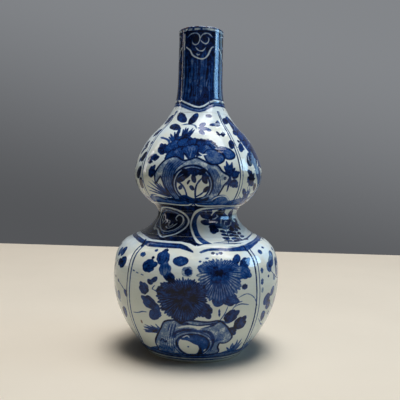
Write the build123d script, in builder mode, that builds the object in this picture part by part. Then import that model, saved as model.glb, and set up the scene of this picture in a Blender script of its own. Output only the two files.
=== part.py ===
from build123d import *
import os
from math import cos, radians, sin

# A double gourd vase in porcelain, thrown in six sections and luted together with slip.
# The origin is the centre of the foot on the table, +Z runs up to the mouth,
# and the panel that faces the viewer lies towards -Y.

os.makedirs("parts", exist_ok=True)

# Radii of the outside
foot_radius = 46.5
belly_radius = 78.2
waist_radius = 37.8
upper_belly_radius = 60.5
neck_radius = 21.3

# Steps from those radii to the places beside them
heel_spread = 8.0
shoulder_inset = 13.8
terrace_width = 11.2
ledge_step = 4.5
upper_shoulder_inset = 19.5
neck_base_spread = 2.4
lip_taper = 0.3

# Rise of each stretch of the wall over the one below, foot to mouth
heel_rise = 9.6
bowl_rise = 61.4
shoulder_rise = 36.0
terrace_rise = 4.5
flare_rise = 18.1
ledge_rise = 7.6
upper_bowl_rise = 29.8
upper_shoulder_rise = 39.0
neck_sweep_rise = 26.0
neck_taper_rise = 30.0
neck_top_rise = 38.0

# Lean of the wall from upright there, in degrees, outwards as it climbs
foot_lean = 45
heel_lean = 35
shoulder_lean = -56
collar_lean = -54.5
ledge_lean = 60
upper_shoulder_lean = -47
neck_base_lean = -14

# Thickness of the wall
heel_wall = 6.5
body_wall = 4.2
neck_wall = 3.4
lip_wall = 3.0

# Floor and turned foot ring
floor_height = 12.0
foot_bevel = 0.8
foot_ring_width = 5.2
foot_ring_taper = 1.0
foot_well_depth = 6.2
foot_well_round = 1.6

# Luting seams: rise of two of them over the waist and the upper shoulder, and the slip in all five
waist_seam_rise = 3.8
neck_seam_rise = 15.0
slip_thickness = 0.6
slip_recess = 0.5
bead_reach = 1.6
bead_height = 5.0

# Reach of the curve handles at both ends of each stretch, as shares of its chord
heel_shares = (0.36, 0.36)
bowl_shares = (0.27, 0.44)
shoulder_shares = (0.32, 0.41)
terrace_shares = (0.50, 0.30)
flare_shares = (0.31, 0.29)
ledge_shares = (0.28, 0.28)
upper_bowl_shares = (0.29, 0.40)
upper_shoulder_shares = (0.27, 0.29)
neck_sweep_shares = (0.32, 0.26)
neck_shares = (0.34, 0.34)
floor_shares = (0.06, 0.50)

# Radii worked out from the sizes above
heel_radius = foot_radius + heel_spread
shoulder_radius = belly_radius - shoulder_inset
collar_radius = shoulder_radius - terrace_width
ledge_radius = waist_radius + ledge_step
upper_shoulder_radius = upper_belly_radius - upper_shoulder_inset
neck_base_radius = neck_radius + neck_base_spread
lip_radius = neck_radius - lip_taper

# Heights above the table worked out from the rises
heel_height = heel_rise
belly_height = heel_height + bowl_rise
shoulder_height = belly_height + shoulder_rise
collar_height = shoulder_height + terrace_rise
waist_height = collar_height + flare_rise
waist_seam_height = waist_height + waist_seam_rise
ledge_height = waist_height + ledge_rise
upper_belly_height = ledge_height + upper_bowl_rise
upper_shoulder_height = upper_belly_height + upper_shoulder_rise
neck_seam_height = upper_shoulder_height + neck_seam_rise
neck_base_height = upper_shoulder_height + neck_sweep_rise
neck_height = neck_base_height + neck_taper_rise
vase_height = neck_height + neck_top_rise
lip_height = vase_height - lip_wall / 2

# Slip and cutting sizes worked out from the sizes above
half_slip = slip_thickness / 2
cut_reach = max(belly_radius, upper_belly_radius)
finest_share = 1e-6

# Stations of the wall: radius, height, lean and thickness, then the stretch that follows
stations = [
    (foot_radius, foot_bevel, foot_lean, heel_wall),
    (heel_radius, heel_height, heel_lean, heel_wall),
    (belly_radius, belly_height, 0, body_wall),
    (shoulder_radius, shoulder_height, shoulder_lean, body_wall),
    (collar_radius, collar_height, collar_lean, body_wall),
    (waist_radius, waist_height, 0, body_wall),
    (ledge_radius, ledge_height, ledge_lean, body_wall),
    (upper_belly_radius, upper_belly_height, 0, body_wall),
    (upper_shoulder_radius, upper_shoulder_height, upper_shoulder_lean, body_wall),
    (neck_base_radius, neck_base_height, neck_base_lean, neck_wall),
    (neck_radius, neck_height, 0, neck_wall),
    (lip_radius, lip_height, 0, lip_wall),
]
stretch_shares = [
    heel_shares,
    bowl_shares,
    shoulder_shares,
    terrace_shares,
    flare_shares,
    ledge_shares,
    upper_bowl_shares,
    upper_shoulder_shares,
    neck_sweep_shares,
    neck_shares,
    neck_shares,
]


def along(lean):
    """Direction that the wall climbs in, as radius and height."""
    return Vector(sin(radians(lean)), cos(radians(lean)))


def outside(station):
    radius, height, lean, wall = station
    return Vector(radius, height)


def inside(station):
    """Point on the inner face, square to the wall behind its outer point."""
    radius, height, lean, wall = station
    return Vector(radius - wall * cos(radians(lean)), height + wall * sin(radians(lean)))


def stretch(face, low, high, shares):
    """Control points of the curve that climbs one face of the wall between two stations."""
    start = face(low)
    end = face(high)
    chord = (end - start).length
    return (
        start,
        start + along(low[2]) * (chord * shares[0]),
        end - along(high[2]) * (chord * shares[1]),
        end,
    )


def radius_at(face, height):
    """Radius of one face of the wall at a height, found by halving the stretch that holds it."""
    for low, high, shares in zip(stations, stations[1:], stretch_shares):
        if face(low).Y <= height <= face(high).Y:
            curve = Bezier(*stretch(face, low, high, shares), mode=Mode.PRIVATE)
            below, above = 0, 1
            while above - below > finest_share:
                middle = (below + above) / 2
                if (curve @ middle).Y < height:
                    below = middle
                else:
                    above = middle
            return (curve @ below).X
    raise ValueError("the wall has no such height")


# Half section of the whole wall, solid down to the table under the floor
with BuildSketch(Plane.XZ) as wall:
    with BuildLine():
        Line((0, 0), (foot_radius - foot_bevel, 0))
        Line((foot_radius - foot_bevel, 0), (foot_radius, foot_bevel))
        for low, high, shares in zip(stations, stations[1:], stretch_shares):
            Bezier(*stretch(outside, low, high, shares))
        ThreePointArc(
            outside(stations[-1]),
            (lip_radius - lip_wall / 2, vase_height),
            inside(stations[-1]),
        )
        for low, high, shares in zip(stations[1:], stations[2:], stretch_shares[1:]):
            Bezier(*stretch(inside, low, high, shares))
        heel = inside(stations[1])
        Bezier(
            heel,
            heel - along(heel_lean) * (heel.X * floor_shares[0]),
            (heel.X * floor_shares[1], floor_height),
            (0, floor_height),
        )
        Line((0, floor_height), (0, 0))
    make_face()


def wall_between(low, high, reach=cut_reach):
    """Add the slice of the wall that stands between two heights to the sketch in hand."""
    add(wall.sketch_local)
    with Locations((0, (low + high) / 2)):
        Rectangle(2 * reach, high - low, mode=Mode.INTERSECT)


# Bowl of the lower bulb, with its floor and turned foot ring
with BuildPart() as lower_bulb_bowl:
    with BuildSketch(Plane.XZ):
        wall_between(0, belly_height - half_slip)
    revolve(axis=Axis.Z)
    with BuildSketch(Plane.XZ) as foot_well:
        with BuildLine():
            Polyline(
                (0, 0),
                (foot_radius - foot_bevel - foot_ring_width, 0),
                (foot_radius - foot_bevel - foot_ring_width - foot_ring_taper, foot_well_depth),
                (0, foot_well_depth),
                close=True,
            )
        make_face()
        fillet(foot_well.vertices().sort_by(Axis.Y)[-2:].sort_by(Axis.X)[-1], foot_well_round)
    revolve(axis=Axis.Z, mode=Mode.SUBTRACT)
lower_bulb_bowl.part.label = "lower_bulb_bowl"
export_step(lower_bulb_bowl.part, "parts/lower_bulb_bowl.step")

# Shoulder of the lower bulb, turned in over a flat terrace to the foot of the waist
with BuildPart() as lower_bulb_shoulder:
    with BuildSketch(Plane.XZ):
        wall_between(belly_height + half_slip, collar_height - half_slip)
    revolve(axis=Axis.Z)
lower_bulb_shoulder.part.label = "lower_bulb_shoulder"
export_step(lower_bulb_shoulder.part, "parts/lower_bulb_shoulder.step")

# Flared collar that makes the waist
with BuildPart() as waist_collar:
    with BuildSketch(Plane.XZ):
        wall_between(collar_height + half_slip, waist_seam_height - half_slip)
    revolve(axis=Axis.Z)
waist_collar.part.label = "waist_collar"
export_step(waist_collar.part, "parts/waist_collar.step")

# Bowl of the upper bulb, which springs from the waist at a sharp ledge
with BuildPart() as upper_bulb_bowl:
    with BuildSketch(Plane.XZ):
        wall_between(waist_seam_height + half_slip, upper_belly_height - half_slip)
    revolve(axis=Axis.Z)
upper_bulb_bowl.part.label = "upper_bulb_bowl"
export_step(upper_bulb_bowl.part, "parts/upper_bulb_bowl.step")

# Shoulder of the upper bulb, drawn up towards the neck
with BuildPart() as upper_bulb_shoulder:
    with BuildSketch(Plane.XZ):
        wall_between(upper_belly_height + half_slip, neck_seam_height - half_slip)
    revolve(axis=Axis.Z)
upper_bulb_shoulder.part.label = "upper_bulb_shoulder"
export_step(upper_bulb_shoulder.part, "parts/upper_bulb_shoulder.step")

# Tall neck with its rounded lip
with BuildPart() as neck_tube:
    with BuildSketch(Plane.XZ):
        wall_between(neck_seam_height + half_slip, vase_height)
    revolve(axis=Axis.Z)
neck_tube.part.label = "neck_tube"
export_step(neck_tube.part, "parts/neck_tube.step")

# Luting seams: slip between two rims, smeared into a bead along the inside
luting_seams = {
    "belly_luting_seam": belly_height,
    "collar_luting_seam": collar_height,
    "waist_luting_seam": waist_seam_height,
    "upper_belly_luting_seam": upper_belly_height,
    "neck_luting_seam": neck_seam_height,
}
for label, height in luting_seams.items():
    with BuildPart() as luting_seam:
        with BuildSketch(Plane.XZ):
            wall_between(height - half_slip, height + half_slip, radius_at(outside, height) - slip_recess)
            with BuildSketch(mode=Mode.ADD):
                with Locations((radius_at(inside, height), height)):
                    Ellipse(bead_reach, bead_height / 2)
                add(wall.sketch_local, mode=Mode.SUBTRACT)
        revolve(axis=Axis.Z)
    luting_seam.part.label = label
    export_step(luting_seam.part, f"parts/{label}.step")
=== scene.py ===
from collections import namedtuple
from functools import lru_cache
from math import cos, pi, radians, sin

import bpy
import numpy as np
from bpy.props import FloatProperty, FloatVectorProperty, IntProperty, PointerProperty
from bpy.types import NodeSocket, Operator, Panel, PropertyGroup
from mathutils import Matrix, Vector


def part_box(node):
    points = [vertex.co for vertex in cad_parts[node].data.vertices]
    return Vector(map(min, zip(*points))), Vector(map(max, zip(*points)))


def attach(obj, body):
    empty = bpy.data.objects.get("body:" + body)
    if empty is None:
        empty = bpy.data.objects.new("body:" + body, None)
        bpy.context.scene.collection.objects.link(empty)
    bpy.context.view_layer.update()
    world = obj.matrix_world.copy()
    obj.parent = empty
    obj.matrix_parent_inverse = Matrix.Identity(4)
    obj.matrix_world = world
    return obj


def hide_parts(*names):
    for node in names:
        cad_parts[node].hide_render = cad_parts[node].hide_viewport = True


# A double gourd vase in blue and white porcelain. The thrown sections are the frame's own sizes,
# and their outside is painted in cobalt on one flat sheet, which is then laid round all of them.
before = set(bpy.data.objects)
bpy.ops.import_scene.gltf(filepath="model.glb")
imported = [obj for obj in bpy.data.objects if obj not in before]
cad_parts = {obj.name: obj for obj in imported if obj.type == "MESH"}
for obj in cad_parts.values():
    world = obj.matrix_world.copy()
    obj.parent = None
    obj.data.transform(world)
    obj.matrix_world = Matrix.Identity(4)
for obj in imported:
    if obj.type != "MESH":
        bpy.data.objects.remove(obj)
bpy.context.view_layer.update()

bl_info = {
    "name": "Double Gourd Vase",
    "version": (1, 0, 0),
    "blender": (4, 5, 0),
    "location": "View3D > Sidebar > Vase",
    "description": "Models, paints and lights a blue and white double gourd vase",
    "category": "Add Mesh",
}

MM = 0.001


# Sizes and colours that a user would change

def place(label, description, radius, height):
    """A place on the outline, as its radius and its height over the table."""
    return FloatVectorProperty(
        name=label, description=description, size=2, default=(radius, height), unit="LENGTH"
    )


def length(label, description, default):
    return FloatProperty(name=label, description=description, default=default, unit="LENGTH", precision=5)


def tilt(label, description, degrees):
    return FloatProperty(name=label, description=description, default=radians(degrees), unit="ROTATION")


def pixels(label, description, default):
    return FloatProperty(name=label, description=description, default=default)


def colour(label, description, default):
    return FloatVectorProperty(
        name=label, description=description, size=3, default=default, subtype="COLOR_GAMMA", min=0, max=1
    )


def widest(node):
    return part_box(node)[1].x


class VaseShape(PropertyGroup):
    """Outline of the vase, foot to lip, and how evenly it was thrown."""

    foot: place("Foot", "Outer edge of the foot, over its bevel", 0.0465, 0.0008)
    heel: place("Heel", "Where the foot turns into the bowl", 0.0545, 0.0096)
    belly: place("Belly", "Widest place of the lower bulb", widest("lower_bulb_bowl"), 0.071)
    shoulder: place("Shoulder", "Where the lower bulb turns in", 0.0644, 0.107)
    collar: place("Collar", "Foot of the waist's flare", 0.0532, 0.1115)
    waist: place("Waist", "Narrowest place between the bulbs", 0.0378, 0.1296)
    ledge: place("Ledge", "Where the upper bulb springs out", 0.0423, 0.1372)
    upper_belly: place("Upper belly", "Widest place of the upper bulb", widest("upper_bulb_bowl"), 0.167)
    upper_shoulder: place("Upper shoulder", "Where the upper bulb turns in", 0.041, 0.206)
    neck_base: place("Neck base", "Where the neck begins", 0.0237, 0.232)
    neck: place("Neck", "Middle of the neck", 0.0213, 0.262)
    lip: place("Lip", "Outer edge of the lip, under its round", 0.021, 0.2985)
    floor: length("Floor", "Height of the floor inside", 0.012)
    foot_well: length("Foot well", "Depth of the turned foot", 0.0062)
    seam_gap: length("Seam gap", "Thickness of the slip in a seam", 0.0006)
    glaze_bridge: length("Glaze bridge", "Glaze that closes a seam from outside", 0.0005)
    unevenness: length("Unevenness", "How far the thrown wall strays from true", 0.00013)
    panel_hollow: length("Panel hollow", "How far the panels lie under their moulded ribs", 0.00028)
    deepest_stray: length("Deepest stray", "Most that the glaze lies under its true outline", 0.00042)
    grid: length("Grid", "Spacing of the mesh on the outside", 0.00046)


class VaseColours(PropertyGroup):
    """Colours of glaze, painting and clay, as they look by daylight."""

    glaze: colour("Glaze", "Clear glaze over the white body", (0.91, 0.958, 0.975))
    warm_glaze: colour("Warm glaze", "The same glaze in warmer patches", (0.94, 0.94, 0.88))
    # Painted shade: unpainted walls that face sideways or down are mixed towards this darker colour,
    # standing in for the lesser light that falls there.
    thick_glaze: colour("Thick glaze", "Glaze gathered on steep and hanging walls", (0.80, 0.835, 0.81))
    haze: colour("Haze", "Glaze beside the painting, faintly blue", (0.74, 0.805, 0.855))
    wash: colour("Wash", "Thin cobalt wash", (0.405, 0.50, 0.625))
    cobalt: colour("Cobalt", "Full cobalt", (0.055, 0.265, 0.54))
    ink: colour("Ink", "Cobalt where the brush was fullest", (0.02, 0.14, 0.36))
    scorched: colour("Scorched cobalt", "Cobalt so thick that it broke through", (0.005, 0.045, 0.155))
    iron: colour("Iron", "Rust spots and the bare rim", (0.36, 0.20, 0.13))
    clay: colour("Clay", "Unglazed foot", (0.74, 0.68, 0.58))
    slip: colour("Slip", "Fired slip in the seams", (0.80, 0.775, 0.71))
    floor: colour("Table cloth", "Pale cloth under the vase", (0.885, 0.84, 0.775))
    wall: colour("Room", "Plain grey room, high up", (0.515, 0.525, 0.54))
    wall_foot: colour("Foot of the room", "The same room, low down", (0.33, 0.335, 0.345))


class VaseStudio(PropertyGroup):
    """Camera and lamps."""

    camera_distance: length("Camera distance", "From the axis of the vase", 0.5202)
    camera_height: length("Camera height", "Over the table", 0.161)
    camera_pitch: tilt("Pitch", "Tilt of the camera", -2.15)
    camera_roll: tilt("Roll", "Lean of the camera", 1.29)
    focal_pixels: pixels("Focal length", "In pixels of the picture", 546.3)
    sideways_pixels: pixels("Sideways shift", "In pixels of the picture", 2.31)
    picture_pixels: IntProperty(name="Picture side", description="In pixels", default=400)
    table_reach: length("Table reach", "From the vase to each edge of the table", 0.735)
    table_turn: tilt("Table turn", "Of the table about the vase", -3.5)


# Outline of the wall

# At each station the lean of the wall in degrees and its thickness, then the handles' reach between them
LEANS = (45, 35, 0, -56, -54.5, 0, 60, 0, -47, -14, 0, 0)
WALLS = (6.5, 6.5, 4.2, 4.2, 4.2, 4.2, 4.2, 4.2, 4.2, 3.4, 3.4, 3.0)
HANDLE_SHARES = (
    (0.36, 0.36), (0.27, 0.44), (0.32, 0.41), (0.50, 0.30), (0.31, 0.29), (0.28, 0.28), (0.29, 0.40),
    (0.27, 0.29), (0.32, 0.26), (0.34, 0.34), (0.34, 0.34),
)
FLOOR_SHARES = (0.06, 0.50)

# Points along each curve and round the lip
CURVE_STEPS = 160
LIP_STEPS = 13

STATION_NAMES = (
    "foot", "heel", "belly", "shoulder", "collar", "waist",
    "ledge", "upper_belly", "upper_shoulder", "neck_base", "neck", "lip",
)


def heading(lean):
    """Direction in which the wall climbs, as radius and height."""
    return np.array((sin(radians(lean)), cos(radians(lean))))


def curve(start, low, high, end):
    """Points on a cubic curve with two handles."""
    t = np.linspace(0, 1, CURVE_STEPS)[:, None]
    return (1 - t) ** 3 * start + 3 * (1 - t) ** 2 * t * low + 3 * (1 - t) * t ** 2 * high + t ** 3 * end


def climb_through(stations, leans, shares):
    """One smooth line through stations, each crossed at its lean."""
    line = [stations[:1]]
    for low, high, lean, next_lean, share in zip(stations, stations[1:], leans, leans[1:], shares):
        chord = np.hypot(*(high - low))
        low_handle = low + heading(lean) * chord * share[0]
        high_handle = high - heading(next_lean) * chord * share[1]
        line.append(curve(low, low_handle, high_handle, high)[1:])
    return np.concatenate(line)


def climbed(line):
    """Length along a line up to each of its points."""
    return np.concatenate(((0,), np.cumsum(np.hypot(*np.diff(line, axis=0).T))))


class Outline:
    """Outside and inside of the wall as smooth lines, in millimetres."""

    def __init__(self, stations):
        outer = np.array(stations)
        inner = np.array([
            point + wall * np.array((-cos(radians(lean)), sin(radians(lean))))
            for point, wall, lean in zip(outer, WALLS, LEANS)
        ])
        round_radius = WALLS[-1] / 2
        bend = np.linspace(0, pi, LIP_STEPS + 1)[1:, None]
        middle = outer[-1] - (round_radius, 0)
        lip_round = middle + round_radius * np.hstack((np.cos(bend), np.sin(bend)))
        self.skin = np.concatenate((climb_through(outer, LEANS, HANDLE_SHARES), lip_round))
        self.inside = climb_through(inner[1:], LEANS[1:], HANDLE_SHARES[1:])
        self.climb = climbed(self.skin)
        self.lip_climb = self.climb[-LIP_STEPS - 1]
        self.heel = inner[1]
        self.foot = outer[0]

    def climb_at(self, height):
        """Length up the outside to a height over the table."""
        below_lip = len(self.skin) - LIP_STEPS
        return np.interp(height, self.skin[:below_lip, 1], self.climb[:below_lip])

    def outside_at(self, climb):
        return np.stack((
            np.interp(climb, self.climb, self.skin[:, 0]),
            np.interp(climb, self.climb, self.skin[:, 1]),
        ), -1)

    def outward_at(self, climb):
        """Direction square to the outside."""
        step = 0.05
        along = self.outside_at(climb + step) - self.outside_at(climb - step)
        along /= np.hypot(*along.T)[:, None]
        return np.stack((along[:, 1], -along[:, 0]), -1)

    def inside_at(self, height):
        return np.stack((np.interp(height, self.inside[:, 1], self.inside[:, 0]), height), -1)


# Brushwork: strokes and washes on a flat sheet, in degrees round the vase and millimetres up its outline

# Steps of the sheet in degrees and millimetres; soft edge of a stroke and reach of its pooled pigment
TURN_STEP = 0.2
CLIMB_STEP = 0.3
BRUSH_EDGE = 0.5
POOL = 0.75

# Millimetres measured to both sides of a band, and the width from which a leaf has veins
BAND_REACH = 12
VEINED_WIDTH = 4.5

# Points to each stretch of a smoothed line and round an oval, and scallops of a broad petal
SMOOTH_STEPS = 6
OVAL_POINTS = 18
SCALLOPS = 5

FAR = 1e6
TINY = 1e-9
HALF_TURNS = (-360, -180, 0, 180, 360)

# Tones of the cobalt
BARE, HAZE, WASH, MID, FULL, DARK, INK = 0.0, 0.12, 0.30, 0.50, 0.66, 0.82, 1.0

# Distances to a line inside a window of the sheet, the share along the line, and what a closed line holds
Reading = namedtuple("Reading", "window away along inside")


def even(along):
    return np.ones_like(along)


def tapered(along):
    """A line that starts and ends in a point."""
    return np.clip(np.minimum(along, 1 - along) * 5 + 0.25, 0, 1)


def blade(along):
    """A blade of grass: full near its root and drawn out to its tip."""
    return np.clip(along * 6 + 0.35, 0, 1) * (1 - along) ** 0.55


def leafy(along):
    return np.sin(pi * np.clip(along, 0, 1)) ** 0.5


def rounded(along):
    return np.sqrt(np.clip(1 - (2 * along - 1) ** 2, 0, 1))


def petal(along):
    """Narrow at the heart of the flower and blunt at its rim."""
    return np.clip(0.25 + along * 1.1, 0, 1) * np.sqrt(np.clip((1 - along) * 5, 0, 1))


def smooth(points, closed=False):
    """A rounder line through given points."""
    points = np.asarray(points, float)
    if len(points) < 3:
        return points
    if closed:
        before, after, beyond = (np.roll(points, shift, 0) for shift in (1, -1, -2))
        here = points
    else:
        padded = np.vstack((2 * points[0] - points[1], points, 2 * points[-1] - points[-2]))
        before, here, after, beyond = padded[:-3], padded[1:-2], padded[2:-1], padded[3:]
    t = (np.arange(SMOOTH_STEPS) / SMOOTH_STEPS)[None, :, None]
    before, here, after, beyond = (part[:, None] for part in (before, here, after, beyond))
    line = 0.5 * (
        2 * here + (after - before) * t + (2 * before - 5 * here + 4 * after - beyond) * t ** 2
        + (3 * here - before - 3 * after + beyond) * t ** 3
    )
    line = line.reshape(-1, 2)
    return line if closed else np.vstack((line, points[-1]))


def all_round(points, turns):
    """Height of a line that repeats every half turn."""
    points = np.array(points, float)
    places = np.concatenate([points[:, 0] + shift for shift in HALF_TURNS])
    return np.interp(turns, places, np.tile(points[:, 1], len(HALF_TURNS)))


def each(paint, rows):
    """The same kind of brushwork once for every row of places and sizes."""
    for row in rows:
        paint(*row)


class Sheet:
    """The painter's flat sheet, with the tone of the cobalt, the rust and the moulded ribs."""

    def __init__(self, outline):
        self.turns = np.arange(-180, 180, TURN_STEP)
        self.climbs = np.arange(0, outline.climb[-1] + CLIMB_STEP, CLIMB_STEP)
        self.outline = outline
        self.girth = np.radians(np.interp(self.climbs, outline.climb, outline.skin[:, 0]))
        shape = (len(self.climbs), len(self.turns))
        self.cobalt, self.iron, self.rib = (np.zeros(shape, np.float32) for channel in range(3))
        self.hand = np.random.default_rng(1620)
        self.face(0)

    def face(self, middle, origin=0, flip=1):
        """From here on, places are measured as on the panel round origin, and land round middle."""
        self.middle, self.origin, self.flip = middle, origin, flip

    def spot(self, points):
        """Places on the panel in hand as places on the whole sheet."""
        points = np.atleast_2d(np.asarray(points, float))
        return points * (self.flip, 1) + (self.middle - self.flip * self.origin, 0)

    def degrees(self, climb):
        """Degrees round the vase in a millimetre, at a place up the outline."""
        return 1 / np.interp(climb, self.climbs, self.girth)

    def measure(self, line, reach, closed=False):
        """Reading of the sheet round a line."""
        low, high = line.min(0), line.max(0)
        side = reach * self.degrees(np.linspace(low[1], high[1], 5)).max()
        rows = np.arange(
            max(int((low[1] - reach) / CLIMB_STEP), 0),
            min(int((high[1] + reach) / CLIMB_STEP) + 2, len(self.climbs)),
        )
        first = int((low[0] - side + 180) // TURN_STEP)
        columns = np.arange(first, int((high[0] + side + 180) // TURN_STEP) + 2)
        girth = self.girth[rows][:, None]
        climb = self.climbs[rows][:, None]
        turn = (columns * TURN_STEP - 180)[None, :]
        away = np.full((len(rows), len(columns)), FAR)
        along = np.zeros_like(away)
        inside = np.zeros(away.shape, bool)
        ends = np.roll(line, -1, 0) if closed else line[1:]
        starts = line if closed else line[:-1]
        for count, (start, end) in enumerate(zip(starts, ends)):
            run, rise = (end[0] - start[0]) * girth, end[1] - start[1]
            across, up = (turn - start[0]) * girth, climb - start[1]
            part = np.clip((across * run + up * rise) / (run ** 2 + rise ** 2 + TINY), 0, 1)
            distance = np.hypot(across - part * run, up - part * rise)
            nearer = distance < away
            away = np.where(nearer, distance, away)
            along = np.where(nearer, (count + part) / len(starts), along)
            if closed:
                crosses = (start[1] > climb) != (end[1] > climb)
                edge = start[0] + (end[0] - start[0]) * (climb - start[1]) / (rise or TINY)
                inside ^= crosses & (turn < edge)
        return Reading(np.ix_(rows, columns % len(self.turns)), away, along, inside)

    def measure_round(self, points):
        """Window of the sheet round a line that repeats every half turn, with the distance to it."""
        height = all_round(points, self.turns)
        slope = np.gradient(height, TURN_STEP) * self.degrees(height)
        low, high = height.min() - BAND_REACH, height.max() + BAND_REACH
        rows = np.flatnonzero((self.climbs > low) & (self.climbs < high))
        away = np.abs(self.climbs[rows, None] - height) / np.hypot(1, slope)
        return np.ix_(rows, np.arange(len(self.turns))), away

    def put(self, window, depth, tone, edge=None, lay=False, onto=None):
        """Paint where depth is above zero, with pigment pooled at the edge."""
        channel = self.cobalt if onto is None else onto
        cover = np.clip(depth / BRUSH_EDGE + 0.5, 0, 1)
        if edge is not None:
            tone = tone + (edge - tone) * np.exp(-np.maximum(depth, 0) / POOL)
        here = channel[window]
        channel[window] = here + (tone - here) * cover if lay else np.maximum(here, tone * cover)

    def brush(self, points, width, tone, edge=None, swell=tapered, lay=False, onto=None, shake=0.12):
        """A stroke of the brush along given points."""
        near = self.measure(smooth(self.spot(points)), width / 2 + BRUSH_EDGE)
        phase, pace = self.hand.uniform(0, 6), self.hand.uniform(9, 17)
        press = 1 + shake * np.sin(near.along * pace + phase)
        self.put(near.window, width / 2 * swell(near.along) * press - near.away, tone, edge, lay, onto)

    def strokes(self, lines, width, tone, **settings):
        for line in lines:
            self.brush(line, width, tone, **settings)

    def fill(self, points, tone, edge=None, lay=False, curved=True):
        """A wash inside a closed outline."""
        line = self.spot(points)
        near = self.measure(smooth(line, closed=True) if curved else line, BRUSH_EDGE, closed=True)
        self.put(near.window, np.where(near.inside, near.away, -near.away), tone, edge, lay)

    def outlined(self, points, tone, edge, width):
        """A wash laid over what is there, with an ink line round it."""
        self.fill(points, tone, edge, lay=True)
        self.ring(points, width, INK)

    def ring(self, points, width, tone, lay=False):
        """A closed line."""
        near = self.measure(smooth(self.spot(points), closed=True), width, closed=True)
        self.put(near.window, width / 2 - near.away, tone, None, lay)

    def band(self, points, width, tone, lay=False, onto=None):
        """A line all the way round, through given heights that repeat every half turn."""
        window, away = self.measure_round(points)
        self.put(window, width / 2 - away, tone, None, lay, onto)

    def ground(self, foot, top, tone):
        """A flat colour all the way round, from a line up to a level."""
        window = np.ix_(np.arange(len(self.climbs)), np.arange(len(self.turns)))
        climb = self.climbs[:, None]
        self.put(window, np.minimum(climb - all_round(foot, self.turns), top - climb), tone)

    def raise_mould(self, window, away, reach):
        rise = np.cos(np.clip(away / reach, 0, 1) * pi / 2) ** 2
        self.rib[window] = np.maximum(self.rib[window], rise)

    def raise_rib(self, points, reach):
        """A rounded rib in the mould under a line."""
        near = self.measure(smooth(self.spot(points)), reach)
        self.raise_mould(near.window, near.away, reach)

    def raise_band(self, points, reach):
        """A rounded rib all the way round."""
        self.raise_mould(*self.measure_round(points), reach)

    def leaf(self, root_turn, root, tip_turn, tip, width, tone):
        """A leaf washed inside a darker outline, with its midrib and side veins."""
        start, end = np.array((root_turn, root)), np.array((tip_turn, tip))
        girth = 1 / self.degrees((root + tip) / 2)
        lean = np.array(((tip - root) / girth, (root_turn - tip_turn) * girth))
        bend = start + (end - start) * 0.5 + lean * self.hand.uniform(-0.08, 0.08)
        self.brush((start, bend, end), width, tone, min(tone + 0.36, 1.05), leafy, shake=0.04)
        if width > VEINED_WIDTH:
            self.brush((start + (end - start) * 0.12, bend, start + (end - start) * 0.8), 0.6, tone + 0.28)
            for share in (0.35, 0.55):
                base = start + (end - start) * share
                for side in (-1, 1):
                    out = base + (end - start) * 0.2 + side * lean * width * 0.26 / np.hypot(
                        (tip_turn - root_turn) * girth, tip - root
                    )
                    self.brush((base, out), 0.45, tone + 0.24)

    def lobed_leaf(self, root_turn, root, tip_turn, tip, width, tone):
        """A leaf of three lobes, each outlined over the last."""
        start, end = np.array((root_turn, root), float), np.array((tip_turn, tip))
        to_flat = np.array((1 / self.degrees((root + tip) / 2), 1))
        axis = (end - start) * to_flat
        side = np.array((axis[1], -axis[0])) / np.hypot(*axis) * width
        edge = min(tone + 0.34, 1.03)
        for lean, reach, share in ((-1, 0.78, 0.52), (1, 0.74, 0.52), (0, 1, 0.56)):
            low = start + (axis * 0.04 + side * lean * 0.10) / to_flat
            high = start + (axis * reach + side * lean * 0.30) / to_flat
            self.brush((low, high), width * share, tone, edge, leafy, lay=True, shake=0.07)
            self.brush((low + (high - low) * 0.2, low + (high - low) * 0.8), 0.6, edge)

    def dab(self, turn, climb, wide, tall, tone):
        """A short touch of a full brush."""
        half = wide / 2 * self.degrees(climb) if wide > tall else tall / 2
        reach = np.array((half, 0)) if wide > tall else np.array((0, half))
        middle = np.array((turn, climb))
        self.brush((middle - reach, middle + reach), min(wide, tall), tone, tone + 0.12, rounded)

    def tuft(self, root, tips, width, tone):
        """Blades that spring from one root."""
        for tip in tips:
            self.brush((root, tip), width, tone, None, blade)

    def chrysanthemum(self, heart, reach, petals, tone, edge, gap):
        """A many-petalled flower: reach is how far it spreads left, right, up and down, in millimetres."""
        draw = self.hand.uniform
        turn_unit = self.degrees(heart[1])
        heart = np.array(heart, float)
        lines = []
        for number in range(petals):
            angle = 2 * pi * (number + draw(-0.2, 0.2)) / petals
            side = reach[1] if sin(angle) > 0 else reach[0]
            rise = reach[2] if cos(angle) > 0 else reach[3]
            way = np.array((sin(angle) * side * turn_unit, cos(angle) * rise))
            span = way * draw(0.9, 1.04)
            width = 2 * pi * np.hypot(sin(angle) * side, cos(angle) * rise) / petals * 1.2
            self.brush((heart + span * 0.15, heart + span), width, tone, edge, petal, lay=True)
            lines.append(span)
        for span in lines:
            start, end = draw(0.3, 0.6), draw(0.8, 0.97)
            self.brush((heart + span * start, heart + span * end), 0.7, gap, None, tapered, lay=True)
        for span, beside in zip(lines, lines[1:] + lines[:1]):
            start, end = draw(0.1, 0.4), draw(0.7, 0.95)
            middle = (span + beside) / 2
            self.brush((heart + middle * start, heart + middle * end), 0.75, edge, None, tapered, lay=True)
        for span in lines[::2]:
            self.brush((heart, heart + span * draw(0.12, 0.26)), 1.1, INK, None, tapered)

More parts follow.
